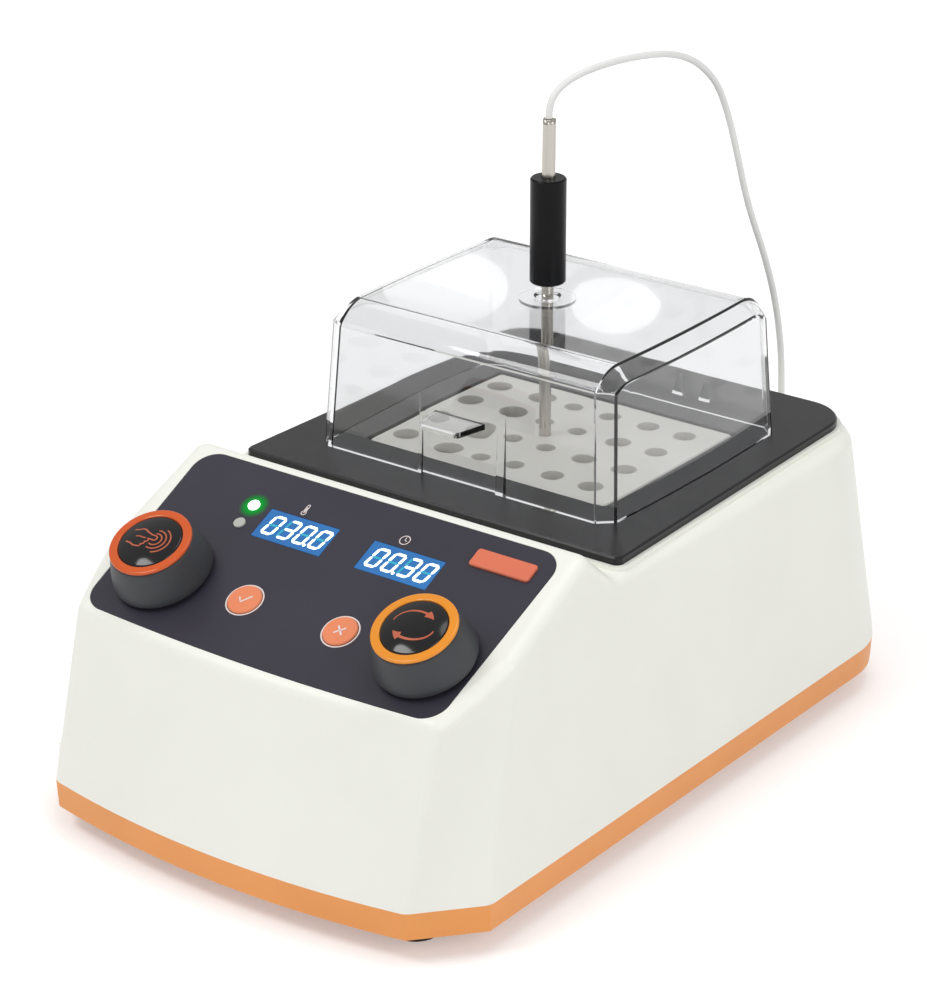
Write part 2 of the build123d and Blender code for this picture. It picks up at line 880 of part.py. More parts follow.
with BuildPart() as frame_screws:
    with BuildSketch(Plane.XY.offset(deck_z - wall)):
        with frame_screw_places():
            Circle(frame_screw)
    extrude(amount=-2)
    with BuildSketch(Plane.XY.offset(deck_z - wall)):
        with frame_screw_places():
            Circle(frame_screw / 2)
    extrude(amount=wall + frame_z - deck_z + frame_thickness - 1)
save(frame_screws.part, "frame_screws")

# Heat block with its wells, the probe's bore and the sensor's bore
block_low = block_top - block_height
heater_low = block_low - heater_thickness
pad_low = heater_low - insulation_base
cradle_low = pad_low - cradle_sheet
block_screw = 4.0
block_screw_x = 2 * 32.0
block_screw_grip = 9.0
sensor_diameter = 4.0
sensor_depth = 18.0
sensor_x = 15.0
sensor_z = block_low + 5.5
cutout_diameter = 15.0

with BuildPart() as heat_block:
    with BuildSketch(Plane.XY.offset(block_low)):
        with Locations((0, block_y)):
            RectangleRounded(block_width, block_length, 1.5)
    extrude(amount=block_height)
    chamfer(heat_block.faces().sort_by(Axis.Z)[-1].edges(), 0.6)
    for column, diameter in well_columns:
        with Locations(*[(column, block_y + row, block_top) for row in well_rows]):
            Hole(diameter / 2, depth=well_depth)
    with Locations((probe_x, probe_y, block_top)):
        Hole(probe_bore / 2, depth=probe_bore_depth)
    with Locations((0, block_y, block_low)):
        with GridLocations(block_screw_x, 0, 2, 1):
            Cylinder(
                block_screw / 2 + shaft_fit,
                block_screw_grip + 0.5,
                align=(Align.CENTER, Align.CENTER, Align.MIN),
                mode=Mode.SUBTRACT,
            )
    with BuildSketch(Plane.XZ.offset(-(block_y + block_length / 2))):
        with Locations((sensor_x, sensor_z)):
            Circle(sensor_diameter / 2 + shaft_fit)
    extrude(amount=sensor_depth, mode=Mode.SUBTRACT)
save(heat_block.part, "heat_block")

with BuildPart() as heater_plate:
    with BuildSketch(Plane.XY.offset(heater_low)):
        with Locations((0, block_y)):
            RectangleRounded(block_width - 4, block_length - 4, 3)
            with GridLocations(block_screw_x, 0, 2, 1):
                Circle(block_screw / 2 + sliding_fit, mode=Mode.SUBTRACT)
    extrude(amount=heater_thickness)
save(heater_plate.part, "heater_plate")

with BuildPart() as insulation_pad:
    with BuildSketch(Plane.XY.offset(pad_low)):
        with Locations((0, block_y)):
            Rectangle(block_width, block_length)
            with GridLocations(block_screw_x, 0, 2, 1):
                Circle(block_screw / 2 + sliding_fit, mode=Mode.SUBTRACT)
    extrude(amount=insulation_base)
save(insulation_pad.part, "insulation_pad")

with BuildPart() as insulation_jacket:
    with BuildSketch(Plane.XY.offset(pad_low)):
        with Locations((0, block_y)):
            RectangleRounded(block_width + 2 * jacket_thickness, block_length + 2 * jacket_thickness, 4)
            Rectangle(block_width + 2 * sliding_fit, block_length + 2 * sliding_fit, mode=Mode.SUBTRACT)
    extrude(amount=deck_z - wall - sliding_fit - pad_low)
    with BuildSketch(Plane.XZ.offset(-block_y)):
        with Locations((sensor_x, sensor_z)):
            Circle(sensor_diameter / 2 + 1)
    extrude(amount=-block_length, mode=Mode.SUBTRACT)
    with BuildSketch(Plane.YZ):
        with Locations((block_y, block_low + 16)):
            Circle(cutout_diameter / 2 + sliding_fit)
    extrude(amount=-block_width, mode=Mode.SUBTRACT)
save(insulation_jacket.part, "insulation_jacket")

# Folded cradle under the block, with its feet screwed to the tray floor
with BuildPart() as block_cradle:
    with BuildSketch(Plane.XZ.offset(-(block_y - cradle_length / 2))):
        with BuildLine():
            Polyline(
                (-cradle_half - cradle_foot, floor_top),
                (-cradle_half, floor_top),
                (-cradle_half, cradle_low),
                (cradle_half, cradle_low),
                (cradle_half, floor_top),
                (cradle_half + cradle_foot, floor_top),
                (cradle_half + cradle_foot, floor_top + cradle_sheet),
                (cradle_half + cradle_sheet, floor_top + cradle_sheet),
                (cradle_half + cradle_sheet, pad_low),
                (-cradle_half - cradle_sheet, pad_low),
                (-cradle_half - cradle_sheet, floor_top + cradle_sheet),
                (-cradle_half - cradle_foot, floor_top + cradle_sheet),
                close=True,
            )
        make_face()
    extrude(amount=-cradle_length)
    with BuildSketch(Plane.XY):
        with Locations((0, block_y)):
            with GridLocations(block_screw_x, 0, 2, 1):
                Circle(block_screw / 2 + sliding_fit)
            with cradle_screw_places():
                Circle(cradle_screw / 2 + shaft_fit)
    extrude(amount=form_top, mode=Mode.SUBTRACT)
save(block_cradle.part, "block_cradle")

with BuildPart() as cradle_screws:
    with BuildSketch(Plane.XY.offset(floor_top + cradle_sheet)):
        with Locations((0, block_y)):
            with cradle_screw_places():
                Circle(cradle_screw)
    extrude(amount=cradle_screw / 2)
    with BuildSketch(Plane.XY.offset(band_bottom)):
        with Locations((0, block_y)):
            with cradle_screw_places():
                Circle(cradle_screw / 2)
    extrude(amount=tray_floor + cradle_sheet)
save(cradle_screws.part, "cradle_screws")

with BuildPart() as block_screws:
    with BuildSketch(Plane.XY.offset(cradle_low)):
        with Locations((0, block_y)):
            with GridLocations(block_screw_x, 0, 2, 1):
                Circle(block_screw)
    extrude(amount=-0.65 * block_screw)
    with BuildSketch(Plane.XY.offset(cradle_low)):
        with Locations((0, block_y)):
            with GridLocations(block_screw_x, 0, 2, 1):
                Circle(block_screw / 2)
    extrude(amount=block_low + block_screw_grip - cradle_low)
save(block_screws.part, "block_screws")

with BuildPart() as block_sensor:
    with BuildSketch(Plane.XZ.offset(-(block_y + block_length / 2))):
        with Locations((sensor_x, sensor_z)):
            Circle(sensor_diameter / 2)
    extrude(amount=sensor_depth - 1)
    extrude(block_sensor.faces().sort_by(Axis.Y)[-1], amount=jacket_thickness + 3)
save(block_sensor.part, "block_sensor")

with BuildPart() as thermal_cutout:
    with BuildSketch(Plane.YZ.offset(-block_width / 2)):
        with Locations((block_y, block_low + 16)):
            Circle(cutout_diameter / 2)
    extrude(amount=-(jacket_thickness - 1))
save(thermal_cutout.part, "thermal_cutout")


# Clear cover: rounded over in side view, with bowed and drafted sides and bevelled side edges
recess_plane_y = cover_front_y + recess_depth
tab_z = cover_z + tab_height
lug_y = cover_front_y + cover_length - cover_wall + lug_root - lug_size[1] / 2


def cover_form(inset):
    """The cover's outer form, or its hollow when drawn inwards by the wall."""
    half = cover_half_width - inset
    low = cover_front_y + inset
    high = cover_front_y + cover_length - inset
    middle = (low + high) / 2
    height = cover_height - inset
    with BuildPart() as form:
        with BuildSketch(Plane.XY.offset(cover_z)):
            with BuildLine():
                Line((-half + cover_side_bow, low), (half - cover_side_bow, low))
                ThreePointArc(
                    (half - cover_side_bow, low), (half, middle), (half - cover_side_bow, high)
                )
                Line((half - cover_side_bow, high), (-half + cover_side_bow, high))
                ThreePointArc(
                    (-half + cover_side_bow, high), (-half, middle), (-half + cover_side_bow, low)
                )
            make_face()
        extrude(amount=height, taper=cover_side_draft)
        with BuildSketch(Plane.YZ.offset(-body_width)) as side_view:
            with Locations((middle, cover_z)):
                Rectangle(high - low, height, align=(Align.CENTER, Align.MIN))
            fillet(side_view.vertices().group_by(Axis.Y)[-1], cover_top_round - inset)
        extrude(amount=2 * body_width, mode=Mode.INTERSECT)
        side_edges = form.edges().filter_by(lambda e: abs(e.center().X) > half / 2)
        chamfer(side_edges.filter_by(lambda e: e.center().Z > cover_z + 1), cover_edge - inset / 2)
    return form


with BuildPart() as cover_hollow:
    add(cover_form(cover_wall).part)
    with BuildSketch(Plane.XZ.offset(-cover_front_y)):
        with Locations((0, cover_z)):
            Rectangle(
                recess_width + 2 * cover_wall,
                recess_height + cover_wall,
                align=(Align.CENTER, Align.MIN),
            )
    extrude(amount=-(cover_wall + recess_depth + 0.4), mode=Mode.SUBTRACT)

with BuildPart() as clear_cover:
    add(cover_form(0).part)
    add(cover_hollow.part, mode=Mode.SUBTRACT)
    with BuildSketch(Plane.XZ.offset(-cover_front_y)):
        with Locations((0, cover_z)):
            Rectangle(recess_width, recess_height, align=(Align.CENTER, Align.MIN))
    extrude(amount=-recess_depth, mode=Mode.SUBTRACT)
    with BuildSketch(Plane.XY.offset(tab_z)) as tab:
        with BuildLine():
            Polyline(
                (-tab_root / 2, recess_plane_y + cover_wall),
                (-tab_tip / 2, recess_plane_y - tab_reach),
                (tab_tip / 2, recess_plane_y - tab_reach),
                (tab_root / 2, recess_plane_y + cover_wall),
                close=True,
            )
        make_face()
        fillet(tab.vertices().group_by(Axis.Y)[0], 1.5)
    extrude(amount=-tab_thickness)
    with BuildSketch(Plane.XY.offset(cover_z + cover_height)):
        with Locations((probe_x, probe_y)):
            Circle(9.5)
    extrude(amount=-cover_wall - 1)
    with BuildSketch(Plane.XY.offset(cover_z + cover_height + 1)):
        with Locations((probe_x, probe_y)):
            Circle(cover_hole / 2)
    extrude(amount=-form_top, mode=Mode.SUBTRACT)
    with BuildSketch(Plane.XY.offset(cover_z + lug_height)):
        with Locations(*[(place, lug_y) for place in lug_places]):
            Rectangle(lug_size[0], lug_size[1])
    extrude(amount=lug_size[2], taper=12)
    ring_edge = clear_cover.edges().filter_by(GeomType.CIRCLE).sort_by(Axis.Z)[-1]
    chamfer(ring_edge, 0.8)
save(clear_cover.part, "clear_cover")

# Probe: a steel sheath in the block, a black handle above the cover and a steel tube for the cable
handle_top = handle_z + handle_length
tube_top = handle_top + tube_length
socket_depth = 6.0
probe_centre = (probe_x, probe_y)
with BuildPart() as probe_sheath:
    with BuildSketch(Plane.XY.offset(block_top - probe_bore_depth + 1)):
        with Locations(probe_centre):
            Circle(sheath_diameter / 2)
    extrude(amount=handle_z + socket_depth - block_top + probe_bore_depth - 1)
    fillet(probe_sheath.edges().sort_by(Axis.Z)[0], sheath_diameter / 2 - 0.2)
save(probe_sheath.part, "probe_sheath")

with BuildPart() as probe_handle:
    with BuildSketch(Plane.XY.offset(handle_z)):
        with Locations(probe_centre):
            Circle(handle_diameter / 2)
    extrude(amount=handle_length)
    chamfer(probe_handle.edges().filter_by(GeomType.CIRCLE), 0.5)
    with BuildSketch(Plane.XY.offset(handle_z)):
        with Locations(probe_centre):
            Circle(sheath_diameter / 2 + shaft_fit)
    extrude(amount=socket_depth, mode=Mode.SUBTRACT)
    with BuildSketch(Plane.XY.offset(handle_top)):
        with Locations(probe_centre):
            Circle(tube_diameter / 2 + shaft_fit)
    extrude(amount=-socket_depth, mode=Mode.SUBTRACT)
save(probe_handle.part, "probe_handle")

with BuildPart() as probe_tube:
    with BuildSketch(Plane.XY.offset(handle_top - socket_depth)):
        with Locations(probe_centre):
            Circle(tube_diameter / 2)
    extrude(amount=socket_depth + tube_length)
    chamfer(probe_tube.edges().sort_by(Axis.Z)[-1], 0.5)
save(probe_tube.part, "probe_tube")

# Socket in the rear pocket and the elbow plug whose cable leaves upwards
socket_flange = 12.0
plug_reach = 16.3
plug_diameter = 9.0
plug_rise = 24.0
cable_end_y = pocket_y + 2.5 + plug_reach
cable_end_z = connector_z + plug_rise
with BuildPart() as probe_socket:
    with BuildSketch(connector_plane):
        with Locations((-socket_x, 0)):
            Circle(socket_flange / 2)
            Circle(2.6, mode=Mode.SUBTRACT)
    extrude(amount=2.5)
    with BuildSketch(connector_plane):
        with Locations((-socket_x, 0)):
            Circle(4)
            Circle(2.6, mode=Mode.SUBTRACT)
    extrude(amount=-12)
save(probe_socket.part, "probe_socket")

with BuildPart() as probe_plug:
    with BuildSketch(connector_plane.offset(2.5)):
        with Locations((-socket_x, 0)):
            Circle(plug_diameter / 2)
    extrude(amount=plug_reach)
    with BuildSketch(connector_plane.offset(2.5)):
        with Locations((-socket_x, 0)):
            Circle(2.5)
    extrude(amount=-12)
    with BuildSketch(Plane.XY.offset(connector_z)):
        with Locations((socket_x, cable_end_y)):
            Circle(plug_diameter / 2)
    extrude(amount=plug_rise / 2)
    with BuildSketch(Plane.XY.offset(connector_z)):
        with Locations((socket_x, cable_end_y)):
            Circle(cable_diameter / 2 + 1)
    extrude(amount=plug_rise)
    with Locations((socket_x, cable_end_y, connector_z)):
        Sphere(plug_diameter / 2)
save(probe_plug.part, "probe_plug")

# The probe's cable arches over the cover and drops behind the housing into the plug
cable_route = [
    (probe_x, probe_y, tube_top),
    (probe_x, probe_y, 213.0),
    (-1.2, 46.5, 218.5),
    (1.0, 54.0, 222.3),
    (4.5, 71.0, 223.5),
    (8.5, 97.0, 219.5),
    (13.0, 113.0, 207.0),
    (17.0, 119.5, 193.0),
    (20.0, 122.5, 177.5),
    (22.5, 126.5, 159.0),
    (25.0, 135.0, 138.0),
    (socket_x, 142.0, 117.5),
    (socket_x, cable_end_y, 94.0),
    (socket_x, cable_end_y, cable_end_z),
]
route_points = [Vector(*point) for point in cable_route]
route_radii = []
for before, corner, after in zip(route_points, route_points[1:], route_points[2:]):
    turn = (corner - before).get_angle(after - corner)
    shorter = min((corner - before).length, (after - corner).length)
    route_radii.append(0.45 * shorter / tan(radians(turn / 2)))
with BuildPart() as probe_cable:
    with BuildLine() as cable_path:
        FilletPolyline(*cable_route, radius=route_radii)
    with BuildSketch(Plane(origin=route_points[0], z_dir=route_points[1] - route_points[0])):
        Circle(cable_diameter / 2)
    sweep()
cable_length = sum(edge.length for edge in cable_path.edges())
print("cable length", round(cable_length, 1), "radii", [round(radius, 1) for radius in route_radii])
print("cable volume", probe_cable.part.volume, "of", pi * cable_diameter**2 / 4 * cable_length)
save(probe_cable.part, "probe_cable")

# Mains inlet: a flanged socket with three blades in its hollow
with BuildPart() as mains_inlet:
    with BuildSketch(connector_plane):
        with Locations((-inlet_x, 0)):
            RectangleRounded(*inlet_flange, 4)
            with GridLocations(inlet_screw_pitch, 0, 2, 1):
                Circle(inlet_screw / 2 + close_fit, mode=Mode.SUBTRACT)
    extrude(amount=inlet_flange_thickness)
    with BuildSketch(connector_plane):
        with Locations((-inlet_x, 0)):
            RectangleRounded(*inlet_body, 2)
    extrude(amount=inlet_flange_thickness - inlet_reach)
    with BuildSketch(connector_plane.offset(inlet_flange_thickness)) as hollow_mouth:
        with Locations((-inlet_x, 0)):
            Rectangle(*inlet_hollow)
        chamfer(hollow_mouth.vertices().group_by(Axis.Y)[-1], 4)
    extrude(amount=-inlet_hollow_depth, mode=Mode.SUBTRACT)
    with BuildSketch(connector_plane.offset(inlet_flange_thickness - inlet_hollow_depth)):
        with Locations(
            (-inlet_x - blade_pitch / 2, -blade_drop),
            (-inlet_x + blade_pitch / 2, -blade_drop),
            (-inlet_x, blade_drop),
        ):
            Rectangle(*blade)
    extrude(amount=blade_reach)
save(mains_inlet.part, "mains_inlet")

with BuildPart() as inlet_screws:
    with BuildSketch(connector_plane.offset(inlet_flange_thickness)):
        with Locations((-inlet_x, 0)):
            with GridLocations(inlet_screw_pitch, 0, 2, 1):
                Circle(0.9 * inlet_screw)
    extrude(amount=0.55 * inlet_screw)
    with BuildSketch(connector_plane.offset(inlet_flange_thickness)):
        with Locations((-inlet_x, 0)):
            with GridLocations(inlet_screw_pitch, 0, 2, 1):
                Circle(inlet_screw / 2)
    extrude(amount=-inlet_screw_length)
save(inlet_screws.part, "inlet_screws")

# Power switch: a frame with a rocker that turns on two pins
with BuildPart() as switch_frame:
    with BuildSketch(connector_plane):
        with Locations((-switch_x, 0)):
            RectangleRounded(*switch_flange, 1)
    extrude(amount=switch_flange_thickness)
    with BuildSketch(connector_plane):
        with Locations((-switch_x, 0)):
            Rectangle(*switch_body)
    extrude(amount=-switch_reach)
    with BuildSketch(connector_plane.offset(switch_flange_thickness)):
        with Locations((-switch_x, 0)):
            Rectangle(*switch_opening)
    extrude(amount=-(switch_reach + switch_flange_thickness - 1.5), mode=Mode.SUBTRACT)
    with BuildSketch(rocker_plane.offset(-pin_reach - close_fit)):
        Circle(rocker_pin + shaft_fit)
    extrude(amount=2 * (pin_reach + close_fit), mode=Mode.SUBTRACT)
save(switch_frame.part, "switch_frame")

# The rocker rests with its upper half pressed in; its face is a shallow V
rocker_back = -4.0
rocker_dip = 3.6
rocker_crest = rocker_dip + rocker_radius * tan(radians(rocker_tilt))
with BuildPart() as power_rocker:
    with BuildSketch(rocker_plane.offset(-rocker_width / 2)):
        Circle(rocker_radius)
        with BuildLine():
            Polyline(
                (rocker_back, -rocker_radius),
                (rocker_crest, -rocker_radius),
                (rocker_dip, 0),
                (rocker_crest, rocker_radius),
                (rocker_back, rocker_radius),
                close=True,
            )
        make_face(mode=Mode.INTERSECT)
    extrude(amount=rocker_width)
    with BuildSketch(rocker_plane.offset(-pin_reach)):
        Circle(rocker_pin)
    extrude(amount=2 * pin_reach)
save(power_rocker.part, "power_rocker")

# Fuse holder with its screw cap
with BuildPart() as fuse_holder:
    with BuildSketch(connector_plane):
        with Locations((-fuse_x, 0)):
            Circle(fuse_flange / 2)
    extrude(amount=fuse_flange_thickness)
    with BuildSketch(connector_plane):
        with Locations((-fuse_x, 0)):
            Circle(fuse_body / 2)
    extrude(amount=-fuse_reach)
    with BuildSketch(connector_plane.offset(fuse_flange_thickness)):
        with Locations((-fuse_x, 0)):
            Circle(fuse_body / 2 - fuse_wall)
    extrude(amount=-fuse_reach, mode=Mode.SUBTRACT)
save(fuse_holder.part, "fuse_holder")

with BuildPart() as fuse_cap:
    with BuildSketch(connector_plane.offset(fuse_flange_thickness)):
        with Locations((-fuse_x, 0)):
            Circle(fuse_body / 2)
    extrude(amount=fuse_cap_height)
    with BuildSketch(connector_plane.offset(fuse_flange_thickness)):
        with Locations((-fuse_x, 0)):
            Circle(fuse_body / 2 - fuse_wall - shaft_fit)
    extrude(amount=-fuse_cap_reach)
    with BuildSketch(connector_plane.offset(fuse_flange_thickness + fuse_cap_height)):
        with Locations((-fuse_x, 0)):
            Rectangle(8, 1.4)
    extrude(amount=-1.2, mode=Mode.SUBTRACT)
save(fuse_cap.part, "fuse_cap")

# Power board on the tray's bosses, with its transformer, heat sink and capacitors
power_board_z = floor_top + power_board_rise
component_z = power_board_z + board_thickness

with BuildPart() as power_board:
    with BuildSketch(Plane.XY.offset(power_board_z)):
        with Locations((0, power_board_y)):
            RectangleRounded(*power_board_size, 2)
            with power_board_places():
                Circle(power_board_screw / 2 + close_fit, mode=Mode.SUBTRACT)
    extrude(amount=board_thickness)
save(power_board.part, "power_board")

with BuildPart() as power_board_screws:
    with BuildSketch(Plane.XY.offset(component_z)):
        with Locations((0, power_board_y)):
            with power_board_places():
                Circle(0.9 * power_board_screw)
    extrude(amount=0.6 * power_board_screw)
    with BuildSketch(Plane.XY.offset(component_z)):
        with Locations((0, power_board_y)):
            with power_board_places():
                Circle(power_board_screw / 2)
    extrude(amount=-6)
save(power_board_screws.part, "power_board_screws")

with BuildPart() as transformer:
    with BuildSketch(Plane.XY.offset(component_z)):
        with Locations((transformer_x, power_board_y)):
            RectangleRounded(*transformer_core, 1)
    extrude(amount=core_base_height)
    with BuildSketch(Plane.XY.offset(component_z + core_base_height)):
        with Locations((transformer_x, power_board_y)):
            Rectangle(core_leg_width, transformer_core[1])
    extrude(amount=core_leg_height)
    with BuildSketch(Plane.XY.offset(component_z + core_base_height)):
        with Locations((transformer_x, power_board_y)):
            RectangleRounded(*coil_size, 3)
    extrude(amount=coil_height)
save(transformer.part, "transformer")

with BuildPart() as heat_sink:
    with BuildSketch(Plane.XY.offset(component_z)):
        with Locations((sink_place[0], power_board_y + sink_place[1])):
            Rectangle(*sink_plate)
            with GridLocations(sink_fin_pitch, 0, 7, 1):
                with Locations((0, sink_fin[1] / 2)):
                    Rectangle(*sink_fin)
    extrude(amount=sink_height)
save(heat_sink.part, "heat_sink")

with BuildPart() as capacitors:
    with BuildSketch(Plane.XY.offset(component_z)):
        with Locations(*[(place, power_board_y - capacitor_back) for place in capacitor_places]):
            Circle(capacitor_diameter / 2)
    extrude(amount=capacitor_height)
save(capacitors.part, "capacitors")
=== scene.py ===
"""Looks of the dry bath incubator: camera, light, materials and the finely shaped pieces."""
from math import cos, hypot, pi, radians, sin, sqrt

import bpy
from mathutils import Matrix, Vector


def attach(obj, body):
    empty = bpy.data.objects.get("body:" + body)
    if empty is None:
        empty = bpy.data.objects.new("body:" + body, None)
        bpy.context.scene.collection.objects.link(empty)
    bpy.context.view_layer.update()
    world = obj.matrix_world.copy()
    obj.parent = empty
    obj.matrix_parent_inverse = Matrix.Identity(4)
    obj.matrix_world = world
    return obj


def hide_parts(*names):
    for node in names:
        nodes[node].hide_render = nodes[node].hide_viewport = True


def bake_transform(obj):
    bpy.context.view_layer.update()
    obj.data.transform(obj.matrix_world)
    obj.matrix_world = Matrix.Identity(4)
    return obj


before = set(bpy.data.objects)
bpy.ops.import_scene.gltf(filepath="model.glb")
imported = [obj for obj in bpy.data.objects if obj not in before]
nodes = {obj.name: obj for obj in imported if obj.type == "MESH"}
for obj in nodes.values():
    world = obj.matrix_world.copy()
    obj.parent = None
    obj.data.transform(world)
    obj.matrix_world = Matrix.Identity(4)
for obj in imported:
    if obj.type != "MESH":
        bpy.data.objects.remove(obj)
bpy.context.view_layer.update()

MM = 0.001

# Panel plane and places on it, the same as in the part
PANEL_TILT = radians(25.6)
PANEL_ORIGIN = Vector((0.0, -0.1139, 0.0747))
PANEL_X = Vector((1.0, 0.0, 0.0))
PANEL_Y = Vector((0.0, cos(PANEL_TILT), sin(PANEL_TILT)))
PANEL_Z = Vector((0.0, -sin(PANEL_TILT), cos(PANEL_TILT)))
PANEL_AXES = (PANEL_X, PANEL_Y, PANEL_Z)
UPRIGHT_AXES = (Vector((1, 0, 0)), Vector((0, 1, 0)), Vector((0, 0, 1)))
LAYOUT_SHIFT = 1.5
KNOB_X = 52.1
KNOB_UP = 19.8
KNOB_RADIUS = 16.5
KNOB_TAPER = 2.9
KNOB_START = 1.35
KNOB_SKIRT = 2.9
KNOB_END = 13.5
RING_OUTER = 13.7
RING_INNER = 10.7
RING_HEIGHT = 1.4
CAP_RADIUS = 10.55
CAP_DOME = 1.5
KEY_X = 19.0
KEY_UP = 19.6
KEY_PROUD = 0.7
DISPLAY_UP = 49.6
TEMPERATURE_X = -20.7
TIME_X = 20.9
RUN_LAMP_X = -41.3
RUN_LAMP_UP = 54.7
PROBE_X = -2.0
PROBE_Y = 42.8
TUBE_LOW = 181.3
TUBE_HIGH = 207.0

# Heights of what is printed or glows on the panel, in millimetres over it
HALO_HEIGHT = 0.03
DIGIT_LIFT = 0.05
PRINT_HEIGHT = 0.06
PRINT_OVER_CAP = 0.04


def panel_point(x, up, height=0.0):
    """A place on the panel in millimetres, as a point in the row frame."""
    return PANEL_ORIGIN + MM * ((x + LAYOUT_SHIFT) * PANEL_X + up * PANEL_Y + height * PANEL_Z)


# Camera and light, fitted to the photograph: 3345 pixels of focal length in a frame 1000 pixels high
CAMERA_PLACE = (0.6006, -0.8075, 0.5236)
CAMERA_ANGLES = (36.86, 23.40, -0.128)
SENSOR = 36.0
FOCAL_LENGTH = 3345.2 * SENSOR / 1000.0

COVER_TOP = (0.0, 0.04, 0.1465)

# Name, place, target, size and power; the two rear lamps only show as soft patches on the cover
LAMPS = (
    ("key", (-0.55, -0.85, 1.45), (0, -0.04, 0.08), (1.0, 0.42), 8.0),
    ("fill", (1.5, -0.5, 0.9), (0, 0, 0.08), (1.0, 1.0), 5.7),
    ("top", (0.1, 0.3, 1.6), (0, 0.03, 0.1), (0.8, 0.8), 4.2),
    ("rear_left", (-0.886, 1.153, 0.654), COVER_TOP, (0.098, 0.060), 0.0095),
    ("rear_right", (-0.770, 1.218, 0.660), COVER_TOP, (0.070, 0.048), 0.0058),
)
SOFT_LIGHT = 0.62
FLOOR_REACH = 6.0
FLOOR_GREY = 0.86


def make_camera():
    azimuth, elevation, roll = (radians(angle) for angle in CAMERA_ANGLES)
    back = Vector((sin(azimuth) * cos(elevation), -cos(azimuth) * cos(elevation), sin(elevation)))
    level = Vector((cos(azimuth), sin(azimuth), 0.0))
    raised = back.cross(level)
    right = level * cos(roll) + raised * sin(roll)
    up = back.cross(right)
    turn = Matrix((right, up, back)).transposed()
    data = bpy.data.cameras.new("camera")
    data.sensor_width = SENSOR
    data.sensor_fit = "AUTO"
    data.lens = FOCAL_LENGTH
    data.clip_end = 20.0
    camera = bpy.data.objects.new("camera", data)
    camera.matrix_world = Matrix.Translation(CAMERA_PLACE) @ turn.to_4x4()
    bpy.context.scene.collection.objects.link(camera)
    bpy.context.scene.camera = camera


def area_light(name, place, target, size, power):
    data = bpy.data.lights.new(name, "AREA")
    data.shape = "ELLIPSE"
    data.size, data.size_y = size
    data.energy = power
    light = bpy.data.objects.new(name, data)
    light.location = place
    light.rotation_euler = (Vector(target) - Vector(place)).to_track_quat("-Z", "Y").to_euler()
    bpy.context.scene.collection.objects.link(light)


def make_light():
    for lamp in LAMPS:
        area_light(*lamp)
    world = bpy.data.worlds.new("studio")
    bpy.context.scene.world = world
    world.use_nodes = True
    tree = world.node_tree
    tree.nodes.clear()
    out = tree.nodes.new("ShaderNodeOutputWorld")
    mix = tree.nodes.new("ShaderNodeMixShader")
    soft = tree.nodes.new("ShaderNodeBackground")
    soft.inputs["Color"].default_value = (1, 1, 1, 1)
    soft.inputs["Strength"].default_value = SOFT_LIGHT
    white = tree.nodes.new("ShaderNodeBackground")
    white.inputs["Color"].default_value = (1, 1, 1, 1)
    white.inputs["Strength"].default_value = 1.0
    tree.links.new(seen_directly(tree), mix.inputs["Fac"])
    tree.links.new(soft.outputs[0], mix.inputs[1])
    tree.links.new(white.outputs[0], mix.inputs[2])
    tree.links.new(mix.outputs[0], out.inputs["Surface"])


def seen_directly(tree, glossy=False):
    """1 for rays from the camera and through glass, and for reflections where asked."""
    path = tree.nodes.new("ShaderNodeLightPath")
    total = tree.nodes.new("ShaderNodeMath")
    total.operation = "MAXIMUM"
    tree.links.new(path.outputs["Is Camera Ray"], total.inputs[0])
    tree.links.new(path.outputs["Is Transmission Ray"], total.inputs[1])
    if not glossy:
        return total.outputs[0]
    both = tree.nodes.new("ShaderNodeMath")
    both.operation = "MAXIMUM"
    tree.links.new(total.outputs[0], both.inputs[0])
    tree.links.new(path.outputs["Is Glossy Ray"], both.inputs[1])
    return both.outputs[0]


def make_floor():
    """A plain floor that keeps the shadow and turns evenly white far from the product."""
    mesh = bpy.data.meshes.new("floor")
    reach = FLOOR_REACH
    mesh.from_pydata(
        [(-reach, -reach, 0), (reach, -reach, 0), (reach, reach, 0), (-reach, reach, 0)],
        [],
        [(0, 1, 2, 3)],
    )
    floor = bpy.data.objects.new("floor", mesh)
    bpy.context.scene.collection.objects.link(floor)
    material = bpy.data.materials.new("floor_white")
    material.use_nodes = True
    tree = material.node_tree
    tree.nodes.clear()
    out = tree.nodes.new("ShaderNodeOutputMaterial")
    diffuse = tree.nodes.new("ShaderNodeBsdfDiffuse")
    diffuse.inputs["Color"].default_value = (FLOOR_GREY, FLOOR_GREY, FLOOR_GREY, 1)
    glow = tree.nodes.new("ShaderNodeEmission")
    place = tree.nodes.new("ShaderNodeTexCoord")
    away = tree.nodes.new("ShaderNodeVectorMath")
    away.operation = "LENGTH"
    tree.links.new(place.outputs["Object"], away.inputs[0])
    rise = tree.nodes.new("ShaderNodeMapRange")
    rise.inputs["From Min"].default_value = 0.35
    rise.inputs["From Max"].default_value = 1.6
    rise.inputs["To Min"].default_value = 0.3
    rise.inputs["To Max"].default_value = 0.85
    tree.links.new(away.outputs["Value"], rise.inputs["Value"])
    strength = tree.nodes.new("ShaderNodeMath")
    strength.operation = "MULTIPLY"
    tree.links.new(seen_directly(tree, glossy=True), strength.inputs[0])
    tree.links.new(rise.outputs["Result"], strength.inputs[1])
    tree.links.new(strength.outputs[0], glow.inputs["Strength"])
    both = tree.nodes.new("ShaderNodeAddShader")
    tree.links.new(diffuse.outputs[0], both.inputs[0])
    tree.links.new(glow.outputs[0], both.inputs[1])
    tree.links.new(both.outputs[0], out.inputs["Surface"])
    mesh.materials.append(material)


make_camera()
make_light()
make_floor()
bpy.context.scene.view_settings.view_transform = "Standard"


# Materials


